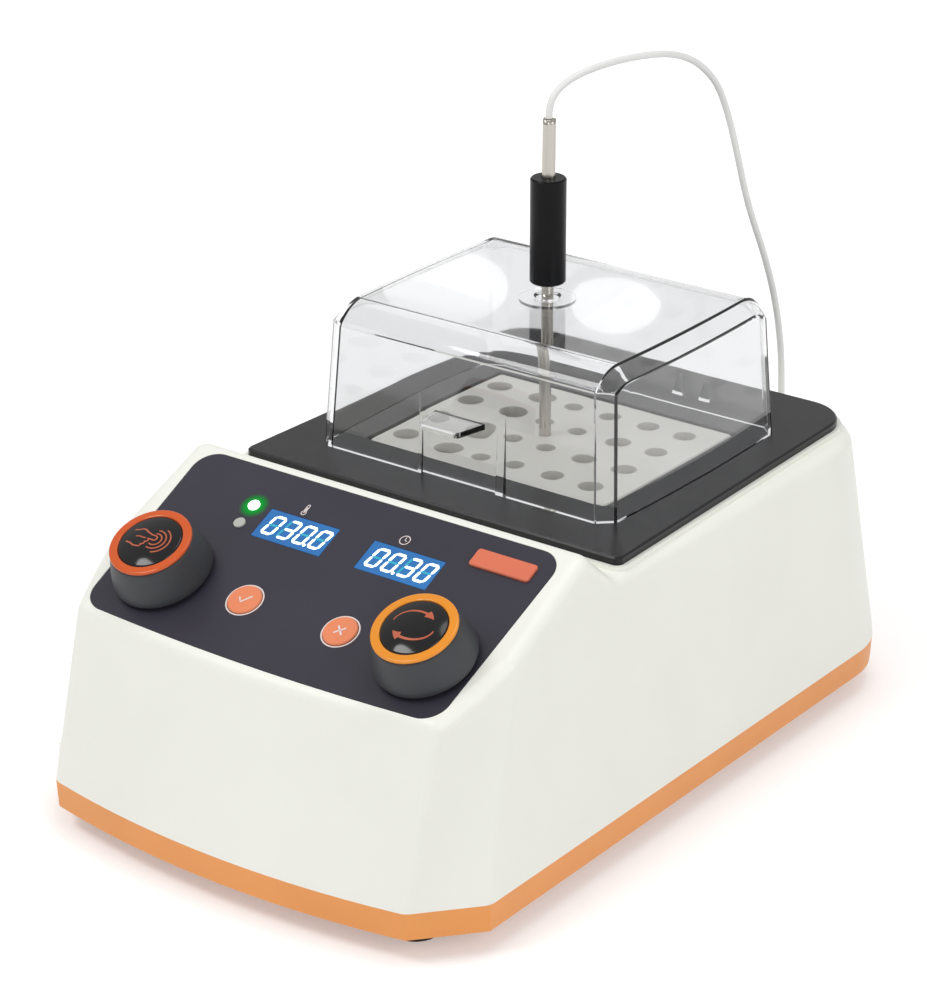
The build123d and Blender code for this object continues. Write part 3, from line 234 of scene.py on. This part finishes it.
def principled(name, color, roughness, **sockets):
    """A material with one Principled shader. Extra sockets are given by name with _ for spaces."""
    material = bpy.data.materials.new(name)
    material.use_nodes = True
    tree = material.node_tree
    shader = tree.nodes["Principled BSDF"]
    shader.inputs["Base Color"].default_value = (*color, 1)
    shader.inputs["Roughness"].default_value = roughness
    for socket, value in sockets.items():
        shader.inputs[socket.replace("_", " ")].default_value = value
    return material, tree, shader


def object_coordinates(tree, stretch=(1, 1, 1)):
    place = tree.nodes.new("ShaderNodeTexCoord")
    mapping = tree.nodes.new("ShaderNodeMapping")
    mapping.inputs["Scale"].default_value = stretch
    tree.links.new(place.outputs["Object"], mapping.inputs["Vector"])
    return mapping.outputs["Vector"]


def noise(tree, scale, detail=3.0, stretch=(1, 1, 1)):
    texture = tree.nodes.new("ShaderNodeTexNoise")
    texture.inputs["Scale"].default_value = scale
    texture.inputs["Detail"].default_value = detail
    tree.links.new(object_coordinates(tree, stretch), texture.inputs["Vector"])
    return texture.outputs["Fac"]


def ramp(tree, value, stops):
    """Colours at places from 0 to 1."""
    node = tree.nodes.new("ShaderNodeValToRGB")
    elements = node.color_ramp.elements
    while len(elements) < len(stops):
        elements.new(0.5)
    for element, (place, color) in zip(elements, stops):
        element.position = place
        element.color = (*color, 1)
    tree.links.new(value, node.inputs["Fac"])
    return node.outputs["Color"]


def spread(tree, value, low, high):
    """The value carried from 0..1 to low..high."""
    node = tree.nodes.new("ShaderNodeMapRange")
    node.inputs["To Min"].default_value = low
    node.inputs["To Max"].default_value = high
    tree.links.new(value, node.inputs["Value"])
    return node.outputs["Result"]


def bump(tree, shader, value, strength, distance):
    node = tree.nodes.new("ShaderNodeBump")
    node.inputs["Strength"].default_value = strength
    node.inputs["Distance"].default_value = distance
    tree.links.new(value, node.inputs["Height"])
    tree.links.new(node.outputs["Normal"], shader.inputs["Normal"])


def tinted(color, factor):
    return tuple(min(1.0, channel * factor) for channel in color)


def moulded(name, color, roughness, grain=2600.0, depth=0.12, mottle=0.05, **sockets):
    """Moulded plastic: fine spark-eroded grain, slightly uneven colour and gloss."""
    material, tree, shader = principled(name, color, roughness, **sockets)
    broad = noise(tree, 28.0, 2.0)
    tone = ramp(tree, broad, [(0.3, tinted(color, 1 - mottle)), (0.7, tinted(color, 1 + mottle / 2))])
    tree.links.new(tone, shader.inputs["Base Color"])
    sheen = spread(tree, noise(tree, 90.0), roughness - 0.05, roughness + 0.06)
    tree.links.new(sheen, shader.inputs["Roughness"])
    bump(tree, shader, noise(tree, grain, 2.0), depth, 0.00004)
    return material


def metal(name, color, roughness, stretch=(1, 1, 1), scale=900.0, depth=0.1):
    """Metal with fine tool marks along the directions that are least stretched."""
    material, tree, shader = principled(name, color, roughness, Metallic=1.0)
    marks = noise(tree, scale, 4.0, stretch)
    tone = ramp(tree, marks, [(0.3, tinted(color, 0.9)), (0.7, color)])
    tree.links.new(tone, shader.inputs["Base Color"])
    tree.links.new(spread(tree, marks, roughness - 0.06, roughness + 0.1), shader.inputs["Roughness"])
    bump(tree, shader, marks, depth, 0.00003)
    return material


def glowing(name, color, strength):
    """A lit face that keeps a little gloss."""
    material, tree, shader = principled(name, color, 0.25)
    shader.inputs["Emission Color"].default_value = (*color, 1)
    shader.inputs["Emission Strength"].default_value = strength
    return material


def blasted_aluminium():
    """The block's bead-blasted and anodised face, warm grey."""
    color = (0.66, 0.64, 0.595)
    material, tree, shader = principled("blasted_aluminium", color, 0.55, Metallic=0.2)
    fine = noise(tree, 3200.0, 2.0)
    broad = noise(tree, 45.0, 3.0)
    tone = ramp(tree, broad, [(0.3, tinted(color, 0.94)), (0.7, tinted(color, 1.04))])
    tree.links.new(tone, shader.inputs["Base Color"])
    tree.links.new(spread(tree, fine, 0.48, 0.66), shader.inputs["Roughness"])
    bump(tree, shader, fine, 0.25, 0.00003)
    return material


def clear_plastic():
    """Clear polycarbonate that lets lamp light through to what it covers."""
    material, tree, shader = principled(
        "clear_polycarbonate", (0.87, 0.874, 0.882), 0.02, IOR=1.56, Transmission_Weight=1.0
    )
    bump(tree, shader, noise(tree, 14.0, 1.0), 0.04, 0.0006)
    out = tree.nodes["Material Output"]
    path = tree.nodes.new("ShaderNodeLightPath")
    through = tree.nodes.new("ShaderNodeBsdfTransparent")
    through.inputs["Color"].default_value = (0.93, 0.94, 0.945, 1)
    either = tree.nodes.new("ShaderNodeMath")
    either.operation = "MAXIMUM"
    tree.links.new(path.outputs["Is Shadow Ray"], either.inputs[0])
    tree.links.new(path.outputs["Is Diffuse Ray"], either.inputs[1])
    mix = tree.nodes.new("ShaderNodeMixShader")
    tree.links.new(either.outputs[0], mix.inputs["Fac"])
    tree.links.new(shader.outputs["BSDF"], mix.inputs[1])
    tree.links.new(through.outputs["BSDF"], mix.inputs[2])
    tree.links.new(mix.outputs["Shader"], out.inputs["Surface"])
    return material


def printed_film():
    """The panel's dark blue-grey film: a fine satin texture under a thin gloss."""
    color = (0.034, 0.031, 0.045)
    material, tree, shader = principled(
        "printed_film", color, 0.36, Coat_Weight=0.1, Coat_Roughness=0.25, Specular_IOR_Level=0.28
    )
    broad = noise(tree, 35.0, 2.0)
    tone = ramp(tree, broad, [(0.3, tinted(color, 0.93)), (0.7, tinted(color, 1.07))])
    tree.links.new(tone, shader.inputs["Base Color"])
    tree.links.new(spread(tree, noise(tree, 300.0), 0.32, 0.42), shader.inputs["Roughness"])
    bump(tree, shader, noise(tree, 5200.0, 1.0), 0.1, 0.00002)
    return material


def display_window():
    """A blue backlit window whose glow varies a little from place to place."""
    color = (0.01, 0.09, 0.26)
    material, tree, shader = principled("display_window", color, 0.2, Coat_Weight=0.1, Coat_Roughness=0.05)
    glow = ramp(tree, noise(tree, 60.0, 1.0), [(0.3, (0.008, 0.15, 0.47)), (0.7, (0.02, 0.22, 0.60))])
    tree.links.new(glow, shader.inputs["Emission Color"])
    shader.inputs["Emission Strength"].default_value = 0.4
    bump(tree, shader, noise(tree, 900.0, 1.0), 0.05, 0.00002)
    return material


def circuit_laminate():
    """Green solder mask with a faint pattern of tracks."""
    material, tree, shader = principled("circuit_laminate", (0.02, 0.13, 0.05), 0.35)
    brick = tree.nodes.new("ShaderNodeTexBrick")
    brick.inputs["Scale"].default_value = 160.0
    brick.inputs["Color1"].default_value = (0.015, 0.11, 0.045, 1)
    brick.inputs["Color2"].default_value = (0.025, 0.16, 0.06, 1)
    brick.inputs["Mortar"].default_value = (0.01, 0.07, 0.03, 1)
    tree.links.new(object_coordinates(tree), brick.inputs["Vector"])
    tree.links.new(brick.outputs["Color"], shader.inputs["Base Color"])
    bump(tree, shader, brick.outputs["Fac"], 0.1, 0.00005)
    return material


HOUSING_WHITE = (0.86, 0.865, 0.80)
BAND_ORANGE = (0.84, 0.33, 0.085)

housing_white = moulded("housing_white", HOUSING_WHITE, 0.38, mottle=0.02)
band_orange = moulded("band_orange", BAND_ORANGE, 0.4)
foot_rubber = moulded("foot_rubber", (0.03, 0.03, 0.03), 0.75, grain=1400.0, depth=0.3)
knob_grey = moulded(
    "knob_grey", (0.042, 0.044, 0.049), 0.5, grain=3800.0, depth=0.1, Specular_IOR_Level=0.4
)
ring_orange = moulded("ring_orange", (0.63, 0.088, 0.005), 0.18, grain=500.0, depth=0.02, Coat_Weight=0.1)
ring_amber = moulded("ring_amber", (0.80, 0.275, 0.010), 0.18, grain=500.0, depth=0.02, Coat_Weight=0.1)
cap_black = moulded(
    "cap_black", (0.006, 0.005, 0.006), 0.1, grain=300.0, depth=0.02, Specular_IOR_Level=0.4
)
key_coral = moulded("key_coral", (0.83, 0.25, 0.11), 0.35, grain=1500.0, depth=0.05)
badge_coral = moulded("badge_coral", (0.72, 0.16, 0.075), 0.22, grain=400.0, depth=0.03, Coat_Weight=0.6)
frame_black = moulded(
    "frame_black", (0.013, 0.0125, 0.014), 0.3, grain=3000.0, depth=0.015, Specular_IOR_Level=0.28
)
handle_black = moulded(
    "handle_black", (0.003, 0.003, 0.004), 0.3, grain=2000.0, depth=0.04, Specular_IOR_Level=0.15
)
socket_black = moulded("socket_black", (0.02, 0.02, 0.021), 0.4, grain=2200.0, depth=0.1)
control_black = moulded("control_black", (0.03, 0.03, 0.032), 0.4)
lamp_grey = moulded("lamp_grey", (0.45, 0.46, 0.42), 0.3, grain=900.0, depth=0.02)
insulation_foam = moulded("insulation_foam", (0.72, 0.70, 0.62), 0.9, grain=700.0, depth=0.6)
heater_film = moulded("heater_film", (0.45, 0.12, 0.05), 0.5)
capacitor_sleeve = moulded("capacitor_sleeve", (0.01, 0.02, 0.07), 0.25)
core_iron = moulded("core_iron", (0.16, 0.15, 0.14), 0.5, grain=1500.0, depth=0.4)
pictogram_coral = moulded("pictogram_coral", (0.50, 0.105, 0.045), 0.3, grain=900.0, depth=0.02)
print_white = moulded("print_white", (0.80, 0.70, 0.68), 0.45, grain=900.0, depth=0.02)
cable_white = moulded("cable_white", (0.80, 0.80, 0.79), 0.35, grain=1200.0, depth=0.05)
zinc_steel = metal("zinc_steel", (0.60, 0.60, 0.57), 0.3)
shaft_steel = metal("shaft_steel", (0.6, 0.6, 0.6), 0.25, stretch=(1, 1, 0.1))
probe_steel = metal("probe_steel", (0.48, 0.455, 0.41), 0.22, stretch=(1, 1, 0.05))
sink_aluminium = metal("sink_aluminium", (0.5, 0.5, 0.52), 0.4, stretch=(1, 1, 0.1))
block_aluminium = blasted_aluminium()
cover_clear = clear_plastic()
# Whiter, half-clear plastic for the cover's rounded edges: a painted highlight that shows them as pale
# lines
cover_edge_painted_highlight = moulded(
    "cover_edge_painted_highlight", (0.90, 0.90, 0.91), 0.25, grain=800.0, depth=0.03, IOR=1.56, Transmission_Weight=0.3
)
overlay_film = printed_film()
display_blue = display_window()
circuit_board = circuit_laminate()
lamp_lit = glowing("lamp_lit", (0.75, 1.0, 0.8), 2.6)

FINISHES = {
    "upper_housing": housing_white,
    "base_tray": band_orange,
    "rubber_feet": foot_rubber,
    "housing_screws": zinc_steel,
    "front_overlay": overlay_film,
    "temperature_display": display_blue,
    "time_display": display_blue,
    "control_board": circuit_board,
    "board_screws": zinc_steel,
    "run_lamp": lamp_lit,
    "standby_lamp": lamp_grey,
    "set_key": key_coral,
    "esc_key": key_coral,
    "key_switches": control_black,
    "press_switch": control_black,
    "press_shaft": shaft_steel,
    "press_knob_body": knob_grey,
    "press_knob_ring": ring_orange,
    "press_knob_cap": cap_black,
    "rotary_encoder": control_black,
    "rotary_shaft": shaft_steel,
    "rotary_knob_body": knob_grey,
    "rotary_knob_ring": ring_amber,
    "rotary_knob_cap": cap_black,
    "blank_badge": badge_coral,
    "top_frame": frame_black,
    "frame_screws": zinc_steel,
    "heat_block": block_aluminium,
    "heater_plate": heater_film,
    "insulation_pad": insulation_foam,
    "insulation_jacket": insulation_foam,
    "block_cradle": zinc_steel,
    "cradle_screws": zinc_steel,
    "block_screws": zinc_steel,
    "block_sensor": probe_steel,
    "thermal_cutout": control_black,
    "clear_cover": cover_clear,
    "probe_sheath": probe_steel,
    "probe_handle": handle_black,
    "probe_tube": probe_steel,
    "probe_socket": socket_black,
    "probe_plug": handle_black,
    "probe_cable": cable_white,
    "mains_inlet": socket_black,
    "inlet_screws": zinc_steel,
    "switch_frame": socket_black,
    "power_rocker": socket_black,
    "fuse_holder": socket_black,
    "fuse_cap": socket_black,
    "power_board": circuit_board,
    "power_board_screws": zinc_steel,
    "transformer": core_iron,
    "heat_sink": sink_aluminium,
    "capacitors": capacitor_sleeve,
}
for name, finish in FINISHES.items():
    slots = nodes[name].material_slots
    for slot in slots:
        slot.material = finish
    if not slots:
        nodes[name].data.materials.append(finish)


# The cover's moulded edges are rounded and get a whiter, half-clear material, a painted highlight, so they
# show as pale lines.
# Its split corners are joined first, and its flat walls keep their own normals.
cover = nodes["clear_cover"]
cover.data.materials.append(cover_edge_painted_highlight)
joined = cover.modifiers.new("joined", "WELD")
joined.merge_threshold = 0.01 * MM
soft_edges = cover.modifiers.new("soft_edges", "BEVEL")
soft_edges.width = 0.6 * MM
soft_edges.segments = 3
soft_edges.limit_method = "ANGLE"
soft_edges.angle_limit = radians(25)
soft_edges.material = len(cover.data.materials) - 1
soft_edges.harden_normals = True
even_walls = cover.modifiers.new("even_walls", "WEIGHTED_NORMAL")
even_walls.mode = "FACE_AREA"
even_walls.weight = 100


# Building pieces


def piece(name, verts, faces, material, body="root", smooth=True):
    """A mesh in the row frame that rides on a body."""
    mesh = bpy.data.meshes.new(name)
    mesh.from_pydata([tuple(v) for v in verts], [], faces)
    mesh.validate()
    mesh.materials.append(material)
    for polygon in mesh.polygons:
        polygon.use_smooth = smooth
    obj = bpy.data.objects.new(name, mesh)
    bpy.context.scene.collection.objects.link(obj)
    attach(obj, body)
    return obj


def lathe(name, profile, origin, axes, material, body, steps=96):
    """Turns a profile of (radius, height) in millimetres round the last of three axes."""
    axis_x, axis_y, axis_z = axes
    verts = []
    for radius, height in profile:
        for i in range(steps):
            turn = 2 * pi * i / steps
            verts.append(
                origin + MM * (radius * cos(turn) * axis_x + radius * sin(turn) * axis_y + height * axis_z)
            )
    rows = len(profile)
    faces = []
    for row in range(rows - 1):
        low, high = row * steps, (row + 1) * steps
        for i in range(steps):
            j = (i + 1) % steps
            faces.append((low + i, low + j, high + j, high + i))
    return piece(name, verts, faces, material, body)


def strip(name, points, width, lift, material, body="root", close=False):
    """A flat printed line through 2-D points; lift turns a 2-D point into a 3-D one."""
    count = len(points)
    verts = []
    for i, (x, y) in enumerate(points):
        before = points[i - 1] if i > 0 or close else points[i]
        after = points[(i + 1) % count] if i < count - 1 or close else points[i]
        dx, dy = after[0] - before[0], after[1] - before[1]
        size = hypot(dx, dy) or 1.0
        half = width(i / (count - 1)) / 2 if callable(width) else width / 2
        verts.append(lift(x - dy / size * half, y + dx / size * half))
        verts.append(lift(x + dy / size * half, y - dx / size * half))
    faces = []
    for i in range(count if close else count - 1):
        a, b = 2 * i, 2 * ((i + 1) % count)
        faces.append((a, a + 1, b + 1, b))
    return piece(name, verts, faces, material, body)


def arc(centre, radius, start, end, steps=24):
    """Points on an arc between two angles in degrees."""
    return [
        (
            centre[0] + radius * cos(radians(start + (end - start) * i / steps)),
            centre[1] + radius * sin(radians(start + (end - start) * i / steps)),
        )
        for i in range(steps + 1)
    ]


def dome_height(radius):
    """Height above the panel of the cap's domed top, in millimetres."""
    curve = (CAP_RADIUS**2 + CAP_DOME**2) / (2 * CAP_DOME)
    return KNOB_END + RING_HEIGHT - 0.2 + CAP_DOME - curve + sqrt(max(curve**2 - radius**2, 0.0))


def rounded(points, radius, steps=6):
    """A profile with its inner corners rounded by quadratic curves."""
    out = [points[0]]
    for before, corner, after in zip(points, points[1:], points[2:]):
        a, b, c = Vector(before), Vector(corner), Vector(after)
        reach = min(radius, (a - b).length / 2, (c - b).length / 2)
        start, end = b + (a - b).normalized() * reach, b + (c - b).normalized() * reach
        for i in range(steps + 1):
            t = i / steps
            out.append(tuple((1 - t) ** 2 * start + 2 * t * (1 - t) * b + t**2 * end))
    out.append(points[-1])
    return out


def dress_knob(side, kind, ring_material):
    """The smooth body, ring and cap of one knob, each standing for its CAD solid."""
    body_name = f"{kind}_knob"
    centre = panel_point(side * KNOB_X, KNOB_UP)
    skirt = [(12.6, KNOB_START), (KNOB_RADIUS - 0.05, KNOB_START), (KNOB_RADIUS, KNOB_SKIRT)]
    profile = rounded(skirt, 0.5)
    for i in range(1, 13):
        t = i / 12
        radius = KNOB_RADIUS - KNOB_TAPER * (0.62 * t + 0.38 * t**2)
        profile.append((radius, KNOB_SKIRT + (KNOB_END - KNOB_SKIRT) * t))
    profile.append((RING_INNER + 0.05, KNOB_END))
    shell = lathe(f"{kind}_knob_shell", profile, centre, PANEL_AXES, knob_grey, body_name)
    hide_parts(f"{kind}_knob_body")
    low, high = KNOB_END + 0.02, KNOB_END + RING_HEIGHT
    middle = (RING_OUTER + RING_INNER) / 2
    corners = [(RING_OUTER, low), (RING_OUTER, high - 0.1), (RING_INNER, high), (RING_INNER, low)]
    section = rounded([(middle, low), *corners, (middle, low)], 0.75)
    ring = lathe(f"{kind}_ring", section, centre, PANEL_AXES, ring_material, body_name)
    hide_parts(f"{kind}_knob_ring")
    dome = [(0.01, dome_height(0))]
    for i in range(1, 25):
        radius = CAP_RADIUS * i / 24
        dome.append((radius, dome_height(radius)))
    dome.append((CAP_RADIUS, KNOB_END - 0.6))
    cap = lathe(f"{kind}_cap", dome, centre, PANEL_AXES, cap_black, body_name)
    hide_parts(f"{kind}_knob_cap")

    def lift(x, y):
        height = dome_height(hypot(x, y)) + PRINT_OVER_CAP
        return panel_point(side * KNOB_X + x, KNOB_UP + y, height)

    return lift


lift_press = dress_knob(-1, "press", ring_orange)
lift_rotary = dress_knob(1, "rotary", ring_amber)


def arrow_width(t):
    """A tapering line that ends in an arrow head."""
    return 0.4 + 0.6 * t if t < 0.8 else 3.0 * (1 - t) / 0.2


for turn in (0, 180):
    points = [
        (7.3 * cos(radians(turn + a)), 5.4 * sin(radians(turn + a))) for a in range(182, 44, -3)
    ]
    strip(f"turn_arrow_{turn}", points, arrow_width, lift_rotary, pictogram_coral, "rotary_knob")


def press_pictogram():
    """A hand with its first finger pointing at a target of rings, drawn as plain outlines."""
    outline = (
        [(-7.4, 2.0), (-5.6, 2.5)]
        + arc((-3.9, 0.6), 2.5, 120, 75, 6)
        + [(-1.4, 2.2), (0.4, 1.75)]
        + arc((1.9, 0.85), 0.9, 90, -90, 10)
        + [(-0.2, -0.05)]
        + arc((-0.3, -0.75), 0.7, 90, -90, 8)
        + arc((-0.9, -2.05), 0.62, 90, -90, 8)
        + arc((-1.7, -3.2), 0.55, 80, -90, 8)
        + [(-3.6, -3.9), (-5.2, -3.3), (-7.4, -3.0)]
    )
    strip("press_hand", outline, 0.5, lift_press, pictogram_coral, "press_knob")
    thumb = [(-5.0, -0.4), (-3.6, 0.0), (-2.4, -0.2), (-0.9, -0.1)]
    strip("press_thumb", thumb, 0.42, lift_press, pictogram_coral, "press_knob")
    for number, (radius, sweep) in enumerate(((2.3, 112), (3.7, 104), (5.1, 72))):
        ring = arc((2.2, 0.5), radius, sweep, -sweep, 30)
        strip(f"press_ring_{number}", ring, 0.45, lift_press, pictogram_coral, "press_knob")


press_pictogram()


def on_film(height):
    return lambda x, y: panel_point(x, y, height)


for side, label in ((-1, "set"), (1, "esc")):
    ring = arc((side * KEY_X, KEY_UP), 6.15, 0, 360, 64)[:-1]
    strip(f"{label}_key_outline", ring, 0.5, on_film(PRINT_HEIGHT), print_white, close=True)

# Plain marks: a tick and a cross on the keys, a thermometer and a clock over the displays


def printed_line(name, centre, points, width, body="root", height=PRINT_HEIGHT, close=False):
    shifted = [(centre[0] + x, centre[1] + y) for x, y in points]
    strip(name, shifted, width, on_film(height), print_white, body, close)


on_key = KEY_PROUD + PRINT_OVER_CAP
tick_mark = [(-1.9, 0.2), (-0.5, -1.5), (2.1, 1.8)]
printed_line("set_key_tick", (-KEY_X, KEY_UP), tick_mark, 0.6, "set_button", on_key)
for slope in (-1, 1):
    stroke = [(-1.5, -1.5 * slope), (1.5, 1.5 * slope)]
    printed_line(f"esc_key_cross_{slope + 1}", (KEY_X, KEY_UP), stroke, 0.6, "esc_button", on_key)
icon_up = DISPLAY_UP + 9.4
thermometer = [(-0.45, -0.6)] + arc((0, -1.35), 0.85, 120, 420, 20) + [(0.45, -0.6)]
thermometer += arc((0, 1.7), 0.45, 0, 180, 8)
printed_line("thermometer_mark", (TEMPERATURE_X - 2.4, icon_up), thermometer, 0.3, close=True)
printed_line("thermometer_column", (TEMPERATURE_X - 2.4, icon_up), [(0, -1.4), (0, 1.0)], 0.4)
printed_line("clock_mark", (TIME_X - 4.4, icon_up), arc((0, 0), 1.75, 0, 360, 32)[:-1], 0.32, close=True)
printed_line("clock_hands", (TIME_X - 4.4, icon_up), [(0, 1.25), (0, 0), (0.95, -0.3)], 0.3)

# Displays: slanted seven-segment numerals, with their unlit segments faintly visible
SEGMENTS = {"0": "abcdef", "3": "abgcd"}
DIGIT_WIDTH = 3.9
DIGIT_HEIGHT = 7.4
DIGIT_PITCH = 6.3
SLANT = 0.2


def segment_bar(key):
    """Start and end of one segment, in the digit's own square from its lower left corner."""
    w, h, m = DIGIT_WIDTH, DIGIT_HEIGHT, DIGIT_HEIGHT / 2
    gap = 0.35
    return {
        "a": ((gap, h), (w - gap, h)),
        "b": ((w, h - gap), (w, m + gap)),
        "c": ((w, m - gap), (w, gap)),
        "d": ((gap, 0), (w - gap, 0)),
        "e": ((0, gap), (0, m - gap)),
        "f": ((0, m + gap), (0, h - gap)),
        "g": ((gap, m), (w - gap, m)),
    }[key]


def display_digits(name, centre_x, text, point_after):
    left = centre_x - (3 * DIGIT_PITCH + DIGIT_WIDTH) / 2
    low = DISPLAY_UP - DIGIT_HEIGHT / 2
    lit_verts, lit_faces, dim_verts, dim_faces = [], [], [], []
    for place, character in enumerate(text):
        for key in "abcdefg":
            (x0, y0), (x1, y1) = segment_bar(key)
            lit = key in SEGMENTS[character]
            verts, faces = (lit_verts, lit_faces) if lit else (dim_verts, dim_faces)
            half = 0.5 if lit else 0.42
            dx, dy = x1 - x0, y1 - y0
            size = hypot(dx, dy)
            dx, dy = dx / size, dy / size
            outline = [
                (x0 - dx * half * 0.6, y0 - dy * half * 0.6),
                (x0 + dx * half * 0.5 - dy * half, y0 + dy * half * 0.5 + dx * half),
                (x1 - dx * half * 0.5 - dy * half, y1 - dy * half * 0.5 + dx * half),
                (x1 + dx * half * 0.6, y1 + dy * half * 0.6),
                (x1 - dx * half * 0.5 + dy * half, y1 - dy * half * 0.5 - dx * half),
                (x0 + dx * half * 0.5 + dy * half, y0 + dy * half * 0.5 - dx * half),
            ]
            base = len(verts)
            for x, y in outline:
                verts.append(panel_point(left + place * DIGIT_PITCH + x + SLANT * y, low + y, DIGIT_LIFT))
            faces.append(tuple(range(base, base + 6)))
    for x, y in arc((left + point_after * DIGIT_PITCH + DIGIT_WIDTH + 1.1, low), 0.6, 0, 360, 12)[:-1]:
        lit_verts.append(panel_point(x, y, DIGIT_LIFT))
    lit_faces.append(tuple(range(len(lit_verts) - 12, len(lit_verts))))
    piece(f"{name}_digits", lit_verts, lit_faces, digit_lit, smooth=False)
    piece(f"{name}_unlit_digits", dim_verts, dim_faces, digit_dim, smooth=False)


digit_lit = glowing("digit_lit", (0.86, 0.95, 1.0), 1.5)
digit_dim = glowing("digit_dim", (0.02, 0.30, 0.42), 0.42)
display_digits("temperature", TEMPERATURE_X, "0300", 2)
display_digits("time", TIME_X, "0030", 1)


def lamp_halo():
    """Green light that spills from the lit lamp onto the film."""
    centre = panel_point(RUN_LAMP_X, RUN_LAMP_UP, HALO_HEIGHT)
    material = bpy.data.materials.new("lamp_halo")
    material.use_nodes = True
    tree = material.node_tree
    tree.nodes.clear()
    out = tree.nodes.new("ShaderNodeOutputMaterial")
    place = tree.nodes.new("ShaderNodeTexCoord")
    away = tree.nodes.new("ShaderNodeVectorMath")
    away.operation = "DISTANCE"
    away.inputs[1].default_value = centre
    tree.links.new(place.outputs["Object"], away.inputs[0])
    fall = tree.nodes.new("ShaderNodeMapRange")
    fall.interpolation_type = "SMOOTHSTEP"
    fall.inputs["From Min"].default_value = 0.0021
    fall.inputs["From Max"].default_value = 0.0056
    fall.inputs["To Min"].default_value = 0.85
    fall.inputs["To Max"].default_value = 0.0
    tree.links.new(away.outputs["Value"], fall.inputs["Value"])
    glow = tree.nodes.new("ShaderNodeEmission")
    glow.inputs["Color"].default_value = (0.01, 0.42, 0.05, 1)
    glow.inputs["Strength"].default_value = 1.0
    clear = tree.nodes.new("ShaderNodeBsdfTransparent")
    mix = tree.nodes.new("ShaderNodeMixShader")
    tree.links.new(fall.outputs["Result"], mix.inputs["Fac"])
    tree.links.new(clear.outputs[0], mix.inputs[1])
    tree.links.new(glow.outputs[0], mix.inputs[2])
    tree.links.new(mix.outputs[0], out.inputs["Surface"])
    verts = [centre]
    for x, y in arc((RUN_LAMP_X, RUN_LAMP_UP), 5.7, 0, 360, 40)[:-1]:
        verts.append(panel_point(x, y, HALO_HEIGHT))
    faces = [(0, i, i % 40 + 1) for i in range(1, 41)]
    piece("lamp_halo", verts, faces, material)


lamp_halo()

# Bright turned edges at the mouths of the wells
WELL_COLUMNS = ((-40.0, 8.8), (-21.8, 9.8), (-8.5, 6.4), (5.0, 6.4), (20.2, 7.6), (35.0, 7.6))
WELL_ROWS = (-26.5, -8.9, 9.3, 26.6)
BLOCK_Y = 42.5
BLOCK_TOP = 96.7
for column, (x, diameter) in enumerate(WELL_COLUMNS):
    for row, y in enumerate(WELL_ROWS):
        radius = diameter / 2
        lathe(
            f"well_edge_{column}_{row}",
            [(radius - 0.02, -0.4), (radius + 0.03, 0.03), (radius + 0.32, 0.05)],
            MM * Vector((x, BLOCK_Y + y, BLOCK_TOP)),
            UPRIGHT_AXES,
            block_aluminium,
            "root",
            steps=48,
        )

def tube_strands():
    """The steel strands round the cable where it leaves the handle, with a slight twist."""
    steps, rows = 72, 14
    verts = []
    for row in range(rows + 1):
        share = row / rows
        for i in range(steps):
            turn = 2 * pi * i / steps
            radius = 1.72 + 0.62 * abs(cos(1.5 * (turn - 0.5 * share)))
            out = radius * Vector((cos(turn), sin(turn), 0))
            verts.append(MM * (Vector((PROBE_X, PROBE_Y, TUBE_LOW + share * (TUBE_HIGH - TUBE_LOW))) + out))
    faces = []
    for row in range(rows):
        for i in range(steps):
            j = (i + 1) % steps
            a, b = row * steps, (row + 1) * steps
            faces.append((a + i, a + j, b + j, b + i))
    faces.append(tuple(range(rows * steps, (rows + 1) * steps)))
    strands = piece("tube_strands", verts, faces, probe_steel, "probe")
    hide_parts("probe_tube")


tube_strands()

# The probe's cable, one smooth line over the cover and down behind the housing
CABLE_DIAMETER = 0.0024
CABLE_ROUTE = [
    (-2.0, 42.8, 207.3),
    (-2.0, 42.8, 212.0),
    (-0.6, 46.5, 217.2),
    (3.0, 55.0, 221.0),
    (8.5, 73.0, 222.6),
    (12.0, 98.5, 219.0),
    (15.2, 114.2, 208.0),
    (17.6, 120.0, 194.0),
    (20.2, 122.8, 178.5),
    (22.5, 126.8, 160.0),
    (25.4, 135.6, 138.0),
    (26.8, 142.0, 117.5),
    (26.8, 146.8, 94.0),
    (26.8, 146.8, 71.0),
]


def route_curve(name, thickness):
    """The route as a smooth NURBS line, bare or as a round tube."""
    data = bpy.data.curves.new(name, "CURVE")
    data.dimensions = "3D"
    data.bevel_depth = thickness / 2
    data.bevel_resolution = 6
    data.use_fill_caps = thickness > 0
    spline = data.splines.new("NURBS")
    spline.points.add(len(CABLE_ROUTE) - 1)
    for point, place in zip(spline.points, CABLE_ROUTE):
        point.co = (*[MM * value for value in place], 1.0)
    spline.order_u = 3
    spline.use_endpoint_u = True
    spline.resolution_u = 12
    curve = bpy.data.objects.new(name, data)
    bpy.context.scene.collection.objects.link(curve)
    bpy.context.view_layer.update()
    mesh = bpy.data.meshes.new_from_object(curve.evaluated_get(bpy.context.evaluated_depsgraph_get()))
    bpy.data.objects.remove(curve)
    return mesh


def make_cable():
    line = [tuple(vertex.co) for vertex in route_curve("route_line", 0.0).vertices]
    mesh = route_curve("probe_lead", CABLE_DIAMETER)
    mesh.materials.clear()
    mesh.materials.append(cable_white)
    for polygon in mesh.polygons:
        polygon.use_smooth = True
    cable = bpy.data.objects.new("probe_lead", mesh)
    bpy.context.scene.collection.objects.link(cable)
    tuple(line[-1])
    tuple(line[0])
    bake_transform(cable)
    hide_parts("probe_cable")
    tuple(line[0])


make_cable()
